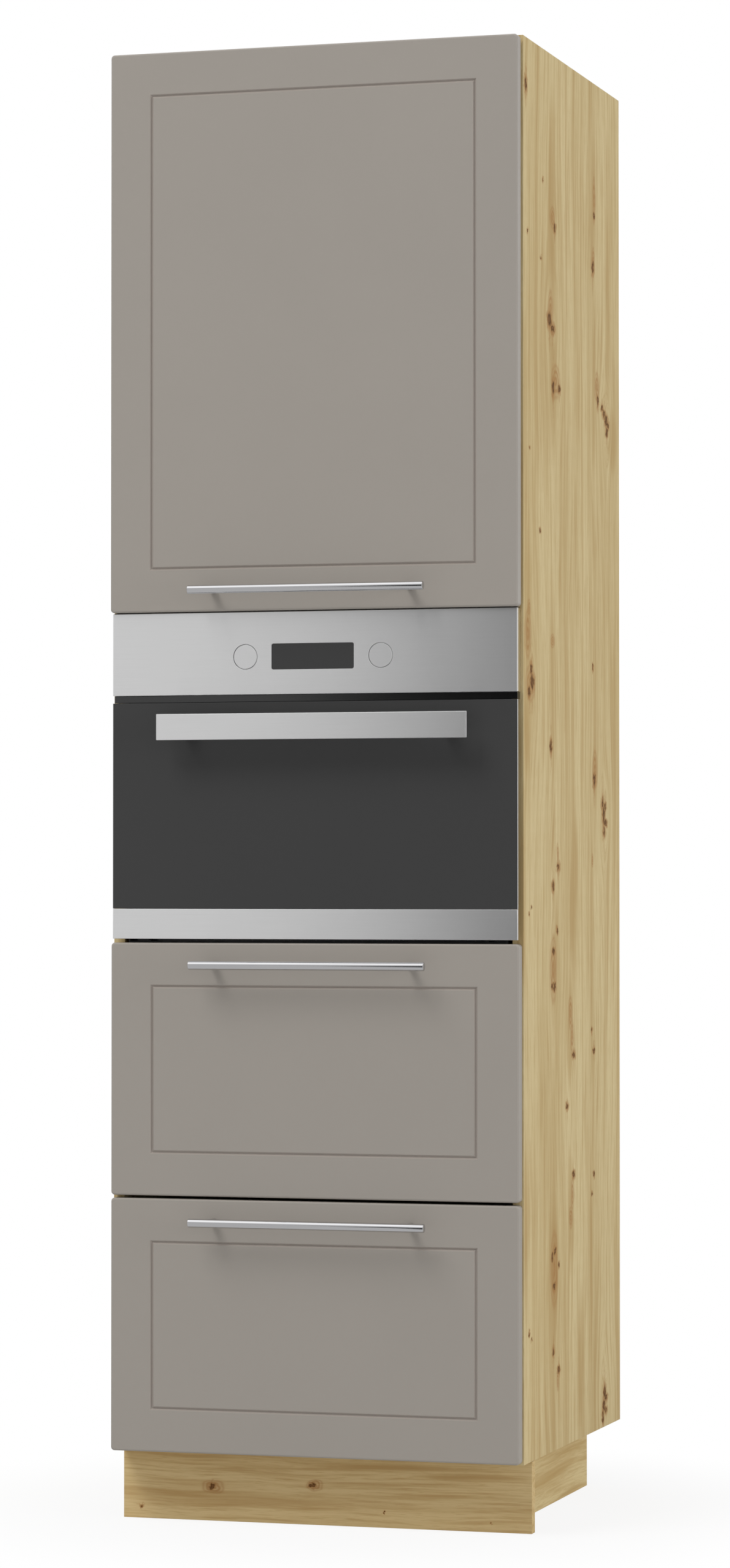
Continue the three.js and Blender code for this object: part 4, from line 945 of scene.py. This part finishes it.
well_profile = [
    (WELL_RADIUS, WELL_START), (WELL_RADIUS, WELL_DEPTH), (KNOB_BORE, WELL_DEPTH),
    (KNOB_BORE, WELL_DEPTH + SHEET), (WELL_RADIUS + SHEET, WELL_DEPTH + SHEET),
    (WELL_RADIUS + SHEET, WELL_START), (WELL_RADIUS, WELL_START),
]
knob_profile = [
    (0, 0), (KNOB_RADIUS - KNOB_CHAMFER, 0), (KNOB_RADIUS, KNOB_CHAMFER), (KNOB_RADIUS, KNOB_DEPTH),
    (KNOB_BORE, KNOB_DEPTH), (KNOB_BORE, KNOB_BORE_START), (0, KNOB_BORE_START),
]
for side, x in (("left", -KNOB_SPACING / 2), ("right", KNOB_SPACING / 2)):
    place = at(x, front_y, controls_z)
    turned_piece(f"knob_well_{side}", well_profile, 96, place, steel, "carcass", "oven_fascia")
    turned_piece(f"turned_knob_{side}", knob_profile, 96, place, steel, f"{side}_knob", f"knob_{side}")
    spindle_low, spindle_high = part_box(f"knob_spindle_{side}")
    spindle_profile = chamfered(SPINDLE_RADIUS, spindle_low.y, spindle_high.y, SPINDLE_CHAMFER)
    turned_piece(f"turned_spindle_{side}", spindle_profile, 48, at(x, 0, controls_z), zinc,
                 f"{side}_knob_spindle", f"knob_spindle_{side}")
print("knob well depth in mm:", WELL_DEPTH / MM)

# %% Display, glass, trim and vent strip
def rounded_plate(name, node, materials, body, edge, corner=0.0):
    """A thin plate that faces -Y, with softened edges; its left and right sides get the last material."""
    low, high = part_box(node)
    bm = new_block(low, high)
    if corner:
        round_edges(bm, edges_along_y(bm), corner, 8)
    round_edges(bm, outline_edges(bm, low.y), edge, 3)
    bm.normal_update()
    for face in bm.faces:
        face.material_index = len(materials) - 1 if abs(face.normal.x) > 0.9 else 0
    return finish_piece(name, bm, materials, body, node)


rounded_plate("display_glass", "oven_display", [dark_glass], "carcass", 0.3 * MM, WINDOW_CORNER)
rounded_plate("door_glass", "oven_door_glass", [dark_glass, ground_edge], "oven_door", 0.7 * MM)
rounded_plate("door_trim", "oven_door_trim", [steel], "oven_door", 0.8 * MM)
rounded_plate("vent_strip", "oven_vent_strip", [vent_black], "carcass", 0.4 * MM)
glass_low, glass_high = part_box("oven_door_glass")
print("door glass width in mm:", round((glass_high.x - glass_low.x) / MM))

# %% Oven handle
POST_INSET = 36 * MM
POST_HALF = Vector((6 * MM, 0, 10 * MM))
GRIP_THICKNESS = 4 * MM
grip_low, grip_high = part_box("oven_door_handle")
grip_middle = middle_of("oven_door_handle").z
bm = bmesh.new()
plate = add_block(bm, grip_low, (grip_high.x, grip_low.y + GRIP_THICKNESS, grip_high.z))
round_edges(bm, edges_of(plate), PRESSED_EDGE, 3)
for x in (grip_low.x + POST_INSET, grip_high.x - POST_INSET):
    near_middle = Vector((x, grip_low.y + GRIP_THICKNESS / 2, grip_middle))
    post = add_block(bm, near_middle - POST_HALF, Vector((x, grip_high.y, grip_middle)) + POST_HALF)
    round_edges(bm, edges_of(post), 1 * MM, 3)
finish_piece("oven_grip", bm, [steel], "oven_door", "oven_door_handle")
print("oven handle length in mm:", round((grip_high.x - grip_low.x) / MM))

# %% [markdown]
# ## The oven's back
#
# From behind, the niche is open and shows the oven's sheet metal casing. A plain sheet would
# look unfinished, so it gets what such a casing has: the domed cover of the fan's motor,
# pressed cooling louvres, a row of screws round its edge and a moulded cover for the mains
# terminals. They are all low, so that they stay well inside the carcass.

# %% Fittings on the casing's back
FAN_DOME = in_mm([(0, 9), (16, 9), (18, 8.4), (20, 5.6), (60, 4.6), (66, 3), (69, 0.6), (72, 0), (0, 0)])
FAN_DOME_BELOW_MIDDLE = 45 * MM
LOUVRE_SIZE = Vector((62 * MM, 2.5 * MM, 5 * MM))
LOUVRE_COLUMNS = (-150 * MM, 0, 150 * MM)
LOUVRE_ROWS = 7
LOUVRE_PITCH = 13 * MM
LOUVRES_BELOW_TOP = 130 * MM
LOUVRE_EDGE = 1.8 * MM
SCREW = in_mm([(0, 1.2), (1.2, 1.2), (1.4, 2.4), (3, 2), (4, 1), (4.2, 0), (0, 0)])
SCREW_INSET = 12 * MM
SCREWS_EACH_SIDE = 4
TERMINAL_COVER_CORNER = Vector((120 * MM, 0, 40 * MM))
TERMINAL_COVER_SIZE = Vector((90 * MM, 15 * MM, 60 * MM))
TERMINAL_COVER_EDGE = 4 * MM
TERMINAL_COVER_SCREW = in_mm([(0, 16), (3, 16), (5, 15.4), (6, 14), (0, 14)])

casing_low, casing_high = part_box("oven_casing")
back_y = casing_high.y
casing_mid = middle_of("oven_casing").z
fittings = bmesh.new()
add_turned(fittings, FAN_DOME, 64, at(0, back_y, casing_mid - FAN_DOME_BELOW_MIDDLE))
for column in LOUVRE_COLUMNS:
    for row in range(LOUVRE_ROWS):
        louvre_z = casing_high.z - LOUVRES_BELOW_TOP + row * LOUVRE_PITCH
        corner = Vector((column - LOUVRE_SIZE.x / 2, back_y, louvre_z))
        louvre = add_block(fittings, corner, corner + LOUVRE_SIZE)
        outer = [e for e in edges_of(louvre) if all(v.co.y > back_y + LOUVRE_EDGE for v in e.verts)]
        round_edges(fittings, outer, LOUVRE_EDGE, 3)
screw_rise = (casing_high.z - casing_low.z - 2 * SCREW_INSET) / (SCREWS_EACH_SIDE - 1)
for side in (-1, 1):
    for k in range(SCREWS_EACH_SIDE):
        screw_z = casing_low.z + SCREW_INSET + k * screw_rise
        add_turned(fittings, SCREW, 24, at(side * (casing_high.x - SCREW_INSET), back_y, screw_z))
finish_piece("casing_back_fittings", fittings, [zinc], "carcass")

corner = Vector((0, back_y, casing_low.z)) + TERMINAL_COVER_CORNER
cover = new_block(corner, corner + TERMINAL_COVER_SIZE)
outer = [e for e in cover.edges if any(v.co.y > back_y + TERMINAL_COVER_EDGE for v in e.verts)]
round_edges(cover, outer, TERMINAL_COVER_EDGE, 4)
middle = corner + TERMINAL_COVER_SIZE / 2
add_turned(cover, TERMINAL_COVER_SCREW, 32, at(middle.x, back_y, middle.z))
finish_piece("terminal_cover", cover, [black_plastic], "carcass")
print("louvres:", len(LOUVRE_COLUMNS) * LOUVRE_ROWS)

# %% [markdown]
# ## Feet and gas struts
#
# These are round pieces, so each is one profile spun round its axis. A gas strut is a painted
# tube with a rolled end and a chromed rod, and it lies along the line between its two pivots.

# %% Feet
LEG_FOOT = in_mm([(0, 0), (29, 0), (30, 1), (30, 8), (29, 9.5), (16, 16), (14, 19)])
LEG_HEAD = [(14, -19), (18, -19), (19, -18), (19, -6), (20, -5), (31.5, -5), (32, -4.5), (32, 0), (0, 0)]
for name in left_and_right("leg_front", "leg_rear"):
    middle = middle_of(name)
    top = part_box(name)[1].z
    upright = at(middle.x, middle.y, 0) @ Matrix.Rotation(math.pi / 2, 4, "X")
    leg_profile = LEG_FOOT + in_mm(LEG_HEAD, top)
    turned_piece(f"turned_{name}", leg_profile, 64, upright, black_plastic, "carcass", name)
print("height of the feet in mm:", round(top / MM))

# %% Gas struts
STRUT_X = 270 * MM
STRUT_LENGTH = 202.8 * MM
BARREL_END = 140.5 * MM
EYE = in_mm([(3.8, -4), (7.5, -4), (7.5, 4), (3.8, 4), (3.8, -4)])
TUBE_FOOT = in_mm([(0, 6), (5, 6), (9, 11)])
TUBE_HEAD = in_mm([(9, -8), (8.2, -7), (8.2, -5), (9, -4), (8, 0), (4.3, 0)], BARREL_END)
TUBE_BORE = in_mm([(4.3, 13), (0, 13)])
ROD = in_mm([(0, 13.3), (4, 13.3)]) + in_mm([(4, -5), (0, -5)], STRUT_LENGTH)

slide = next(j for j in frame["joints"] if j["name"] == "left_strut_reach")
strut_way = Vector(slide["axis"])
strut_tilt = math.atan2(strut_way.z, strut_way.y)
foot = middle_of("strut_foot_bracket_left")
lay = Matrix.Rotation(math.pi / 2, 4, "Z")
for side, x in (("left", -STRUT_X), ("right", STRUT_X)):
    place = at(x, foot.y, foot.z) @ Matrix.Rotation(strut_tilt, 4, "X")
    bm = bmesh.new()
    add_turned(bm, TUBE_FOOT + TUBE_HEAD + TUBE_BORE, 48, place)
    add_turned(bm, EYE, 48, place @ lay)
    finish_piece(f"gas_tube_{side}", bm, [black_paint], f"{side}_strut_barrel", f"strut_barrel_{side}")
    bm = bmesh.new()
    add_turned(bm, ROD, 32, place)
    add_turned(bm, EYE, 48, place @ at(0, STRUT_LENGTH, 0) @ lay)
    finish_piece(f"gas_rod_{side}", bm, [chrome], f"{side}_strut_rod", f"strut_rod_{side}")
print("strut tilt in degrees:", round(math.degrees(strut_tilt), 2))

# %% [markdown]
# ## Inside the oven
#
# Behind the door the cavity has a fan cover on its back wall, a grill element under its roof, a
# lamp glass, a wire rack and a flat seal round its mouth, and the door has an inner pane. They
# only show with the door open, but then they are what makes it an oven. Wires are curves with
# a round bevel, along a path whose corners are arcs.

# %% Fan cover
CAVITY_SIDE = 230 * MM
CAVITY_FLOOR = 886 * MM
CAVITY_ROOF = 1116 * MM
COVER_HALF = Vector((105 * MM, 0, 95 * MM))
COVER_DEPTH = 9 * MM
COVER_CORNER = 20 * MM
COVER_EDGE = 5 * MM
COVER_SLOTS = 16
COVER_SLOT = ((18 * MM, -12 * MM, -2 * MM), (42 * MM, 12 * MM, 2 * MM))
HAIR_GAP = 0.1 * MM

liner_low, liner_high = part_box("oven_liner")
cavity_back = liner_high.y - SHEET
cover_front = cavity_back - COVER_DEPTH
cavity_mid = (CAVITY_FLOOR + CAVITY_ROOF) / 2
bm = new_block(Vector((0, cover_front, cavity_mid)) - COVER_HALF,
               Vector((0, cavity_back - HAIR_GAP, cavity_mid)) + COVER_HALF)
round_edges(bm, edges_along_y(bm), COVER_CORNER, 8)
round_edges(bm, outline_edges(bm, cover_front), COVER_EDGE, 4)
fan_cover = finish_piece("fan_cover", bm, [enamel], "carcass")
slots = []
for k in range(COVER_SLOTS):
    bm = new_block(*COVER_SLOT)
    place = at(0, cover_front, cavity_mid) @ Matrix.Rotation(k * math.tau / COVER_SLOTS, 4, "Y")
    bmesh.ops.transform(bm, matrix=place, verts=bm.verts)
    slots.append(loose_cutter(bm))
cut_out(fan_cover, slots)
print("fan cover faces:", len(fan_cover.data.polygons))

# %% Wires
ARC_STEPS = 8


def rounded_path(corners, radius, closed=False):
    """Points along a path of straight runs, with an arc of a quarter circle at each corner."""
    corners = [Vector(corner) for corner in corners]
    points = []
    for k, corner in enumerate(corners):
        if not closed and k in (0, len(corners) - 1):
            points.append(corner)
            continue
        arriving = (corner - corners[k - 1]).normalized()
        leaving = (corners[(k + 1) % len(corners)] - corner).normalized()
        centre = corner + (leaving - arriving) * radius
        for step in range(ARC_STEPS + 1):
            turn = math.radians(90) * step / ARC_STEPS
            points.append(centre + (arriving * math.sin(turn) - leaving * math.cos(turn)) * radius)
    return points


def wire(name, points, radius, material, closed=False):
    """A round wire along points, as a part of the oven's inside."""
    curve = bpy.data.curves.new(name, "CURVE")
    curve.dimensions = "3D"
    curve.bevel_depth = radius
    curve.bevel_resolution = 3
    curve.use_fill_caps = True
    spline = curve.splines.new("POLY")
    spline.points.add(len(points) - 1)
    for spline_point, point in zip(spline.points, points):
        spline_point.co = (*point, 1)
    spline.use_cyclic_u = closed
    spline.use_smooth = True
    curve.materials.append(material)
    obj = bpy.data.objects.new(name, curve)
    bpy.context.scene.collection.objects.link(obj)
    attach(obj, "carcass")
    return obj


print("wire helpers ready")

# %% Rack and grill element
RACK_WIRE_RADIUS = 2.5 * MM
RACK_BAR_RADIUS = 1.5 * MM
RACK_BAR_COUNT = 13
RACK_CORNER = 12 * MM
GRILL_RADIUS = 3.5 * MM
GRILL_PITCH = 46 * MM
GRILL_RUNS = 6
GRILL_HALF = 165 * MM
GRILL_BELOW_ROOF = 14 * MM
GRILL_BEFORE_BACK = 60 * MM

low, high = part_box("oven_rack")
rack_z = middle_of("oven_rack").z
left, right = low.x + RACK_WIRE_RADIUS, high.x - RACK_WIRE_RADIUS
near, far = low.y + RACK_WIRE_RADIUS, high.y - RACK_WIRE_RADIUS
rack_corners = [(left, near, rack_z), (right, near, rack_z), (right, far, rack_z), (left, far, rack_z)]
frame_path = rounded_path(rack_corners, RACK_CORNER, closed=True)
rack_frame = wire("rack_frame", frame_path, RACK_WIRE_RADIUS, chrome, closed=True)
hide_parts("oven_rack")
bar_profile = [(0, near), (RACK_BAR_RADIUS, near), (RACK_BAR_RADIUS, far), (0, far)]
bm = bmesh.new()
for k in range(RACK_BAR_COUNT):
    bar_x = left + (right - left) * (k + 1) / (RACK_BAR_COUNT + 1)
    add_turned(bm, bar_profile, 16, at(bar_x, 0, rack_z))
finish_piece("rack_bars", bm, [chrome], "carcass", "oven_rack")

grill_z = CAVITY_ROOF - GRILL_BELOW_ROOF
zigzag = [(-GRILL_HALF, cavity_back, grill_z)]
for k in range(GRILL_RUNS):
    run_y = cavity_back - GRILL_BEFORE_BACK - k * GRILL_PITCH
    side = -1 if k % 2 == 0 else 1
    zigzag += [(side * GRILL_HALF, run_y, grill_z), (-side * GRILL_HALF, run_y, grill_z)]
wire("grill_element", rounded_path(zigzag, GRILL_PITCH / 2 - HAIR_GAP), GRILL_RADIUS, black_paint)
print("rack bars:", RACK_BAR_COUNT, "grill runs:", GRILL_RUNS)

# %% Lamp, seal and inner pane
LAMP_DOME = in_mm([
    (0, -10), (6, -9.6), (7, -9), (12, -8.2), (13, -7.4), (18, -6), (19, -5), (22, -3), (26, -3),
    (27, -2), (27, -0.1), (0, -0.1),
])
LAMP_X = 168 * MM
LAMP_BELOW_ROOF = 52 * MM
SEAL_WIDTH = 9 * MM
SEAL_THICKNESS = 0.8 * MM
SEAL_INSET = 3 * MM
SEAL_CORNER = 22 * MM
MOUTH_CORNER = 13 * MM
PANE_THICKNESS = 3 * MM
PANE_INSET = 8 * MM
PANE_CORNER = 12 * MM
PANE_EDGE = 0.6 * MM
FILM = 0.02 * MM


def mouth_block(grow, near_y, far_y, corner):
    """A block as wide and high as the cavity's mouth and a bit, with rounded corners."""
    block = new_block((-CAVITY_SIDE - grow, near_y, CAVITY_FLOOR - grow),
                      (CAVITY_SIDE + grow, far_y, CAVITY_ROOF + grow))
    round_edges(block, edges_along_y(block), corner, 8)
    return block


lamp_place = at(LAMP_X, cavity_back, CAVITY_ROOF - LAMP_BELOW_ROOF)
turned_piece("lamp_cover", LAMP_DOME, 64, lamp_place, lamp_glass, "carcass")
mouth_y = liner_low.y
block = mouth_block(SEAL_INSET + SEAL_WIDTH, mouth_y - SEAL_THICKNESS, mouth_y - FILM, SEAL_CORNER)
seal = finish_piece("mouth_seal", block, [gasket_rubber], "carcass")
hole = mouth_block(SEAL_INSET, mouth_y - CUT_AHEAD, mouth_y + CUT_AHEAD, MOUTH_CORNER)
cut_out(seal, [loose_cutter(hole)])

door_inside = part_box("oven_door_frame")[1].y
pane = mouth_block(-PANE_INSET, door_inside + FILM, door_inside + PANE_THICKNESS, PANE_CORNER)
round_edges(pane, outline_edges(pane, door_inside + PANE_THICKNESS), PANE_EDGE, 2)
finish_piece("door_inner_pane", pane, [inner_glass], "oven_door")
print("mouth seal faces:", len(seal.data.polygons))

# %% [markdown]
# ## Studio
#
# The unit stands on a pale floor before a white background. One large soft lamp hangs in front
# to the left, as the shadows under the handles show, and a weaker one lights the oak side. The
# floor and the sky are white to the camera only by their own colour, so they add no light. In
# steel and chrome they show as a mid-grey floor and room under a bright ceiling.

# %% Floor
FLOOR_HALF = 40.0
WHITE = (1.0, 1.0, 1.0)
LIT_FLOOR = (0.74, 0.74, 0.74, 1)
MIRRORED_FLOOR = (0.60, 0.60, 0.60)
GLOW_BY_DISTANCE = (0.35, 0.8, 0.88, 1.0)


def studio_floor_material():
    """A pale floor. To the camera it glows softly, fully so far from the unit."""
    material = bpy.data.materials.new("studio_floor")
    material.use_nodes = True
    tree = material.node_tree
    tree.nodes.clear()
    rays = add_node(tree, "ShaderNodeLightPath").outputs
    place = add_node(tree, "ShaderNodeTexCoord").outputs["Object"]
    distance = add_node(tree, "ShaderNodeVectorMath", {0: place}, operation="LENGTH").outputs["Value"]
    share = remap(tree, distance, *GLOW_BY_DISTANCE)
    lit = add_node(tree, "ShaderNodeBsdfDiffuse", {"Color": LIT_FLOOR}).outputs[0]
    seen = calculate(tree, "MULTIPLY", rays["Is Camera Ray"], share)
    seen = calculate(tree, "MAXIMUM", seen, rays["Is Glossy Ray"])
    glow_colour = blend_colours(tree, rays["Is Glossy Ray"], WHITE, MIRRORED_FLOOR)
    glow = add_node(tree, "ShaderNodeEmission", {"Color": glow_colour, "Strength": 1.0}).outputs[0]
    mix = add_node(tree, "ShaderNodeMixShader", {0: seen, 1: lit, 2: glow}).outputs[0]
    add_node(tree, "ShaderNodeOutputMaterial", {"Surface": mix})
    return material


def add_stage(name, bm, material):
    """Adds a piece of the studio, which isn't part of the unit."""
    obj = object_from(name, bm, material)
    return obj


bm = bmesh.new()
bmesh.ops.create_grid(bm, x_segments=1, y_segments=1, size=FLOOR_HALF)
add_stage("floor", bm, studio_floor_material())
print("floor size in m:", 2 * FLOOR_HALF)

# %% Sky
PLAIN_LIGHT = (0.56, 0.56, 0.56)
MIRRORED_ROOM = (0.60, 0.60, 0.60)
MIRRORED_CEILING = (1.35, 1.35, 1.35)
CEILING_FADE = (0.52, 0.64)
BEHIND_FADE = (0.05, 0.35)

world = bpy.data.worlds.new("studio")
world.use_nodes = True
bpy.context.scene.world = world
sky = world.node_tree
sky.nodes.clear()
rays = add_node(sky, "ShaderNodeLightPath").outputs
direction = add_node(sky, "ShaderNodeTexCoord").outputs["Generated"]
toward = add_node(sky, "ShaderNodeSeparateXYZ", {"Vector": direction}).outputs
room = blend_colours(sky, fade(sky, toward["Z"], *CEILING_FADE), MIRRORED_ROOM, MIRRORED_CEILING)
mirrored = blend_colours(sky, fade(sky, toward["Y"], *BEHIND_FADE), room, WHITE)
white_seen = calculate(sky, "MAXIMUM", rays["Is Camera Ray"], rays["Is Transmission Ray"])
colour = blend_colours(sky, rays["Is Glossy Ray"], PLAIN_LIGHT, mirrored)
colour = blend_colours(sky, white_seen, colour, WHITE)
background = add_node(sky, "ShaderNodeBackground", {"Color": colour, "Strength": 1.0}).outputs[0]
add_node(sky, "ShaderNodeOutputWorld", {"Surface": background})
print("sky ready")

# %% Lamps
def soft_lamp(name, place, aim, size, power):
    """A square lamp that is itself unseen; its size is in metres and its power in watts."""
    data = bpy.data.lights.new(name, "AREA")
    data.shape = "SQUARE"
    data.size = size
    data.energy = power
    lamp = bpy.data.objects.new(name, data)
    lamp.location = place
    lamp.rotation_euler = (Vector(aim) - Vector(place)).to_track_quat("-Z", "Y").to_euler()
    lamp.visible_camera = False
    lamp.visible_glossy = False
    bpy.context.scene.collection.objects.link(lamp)
    return lamp


key = soft_lamp("key", place=(-3.3, -5.0, 8.6), aim=(0, 0, 1.1), size=4.2, power=480)
fill = soft_lamp("fill", place=(9.0, -2.0, 1.3), aim=(0, 0, 1.0), size=5.0, power=370)
print("lamps:", key.name, fill.name)

# %% [markdown]
# ## A dark curtain behind the camera
#
# Chrome and steel show their surroundings. In the photograph the right half of every bar shows
# a dark patch, and the steel darkens to the right: the room behind the camera was dark on that
# side. A black curtain far away and a black mat before it do the same here. Only mirror-like
# reflections can see them. Their edges are written as directions from a point on the front.

# %% Dark curtain and mat
CURTAIN_FAR = 25.0
MAT_HEIGHT = 2 * MM
SEEN_FROM = Vector((0.11, -0.27, 1.16))

# The mat's corners by azimuth and distance, the curtain's by azimuth and rise, in degrees and metres.
MAT_EDGE = [(-14.5, 1.04), (-14.5, 2.2), (-16.4, 4.6), (-17.2, CURTAIN_FAR), (4.0, CURTAIN_FAR), (4.0, 1.04)]
CURTAIN_EDGE = [
    (-17.2, -2.0), (-17.2, 2.0), (-16.4, 14.0), (-14.5, 26.0), (-14.5, 40.0), (4.0, 40.0), (4.0, -2.0),
]
curtain_black = new_material("curtain_black", (0.02, 0.02, 0.02), 1.0, shine=0.0)[0]


def from_unit(azimuth, distance, height):
    """A place at an azimuth in degrees and a distance before the unit's front, at a height."""
    return (SEEN_FROM.x + math.tan(math.radians(azimuth)) * distance, SEEN_FROM.y - distance, height)


bm = bmesh.new()
bm.faces.new([bm.verts.new(from_unit(azimuth, distance, MAT_HEIGHT)) for azimuth, distance in MAT_EDGE])
bm.faces.new([
    bm.verts.new(from_unit(azimuth, CURTAIN_FAR, SEEN_FROM.z + math.tan(math.radians(rise)) * CURTAIN_FAR))
    for azimuth, rise in CURTAIN_EDGE
])
curtain = add_stage("dark_curtain", bm, curtain_black)
for kind in ("camera", "diffuse", "transmission", "volume_scatter", "shadow"):
    setattr(curtain, f"visible_{kind}", False)
print("curtain edge points:", len(CURTAIN_EDGE))

# %% View transform
bpy.context.scene.view_settings.view_transform = "Standard"
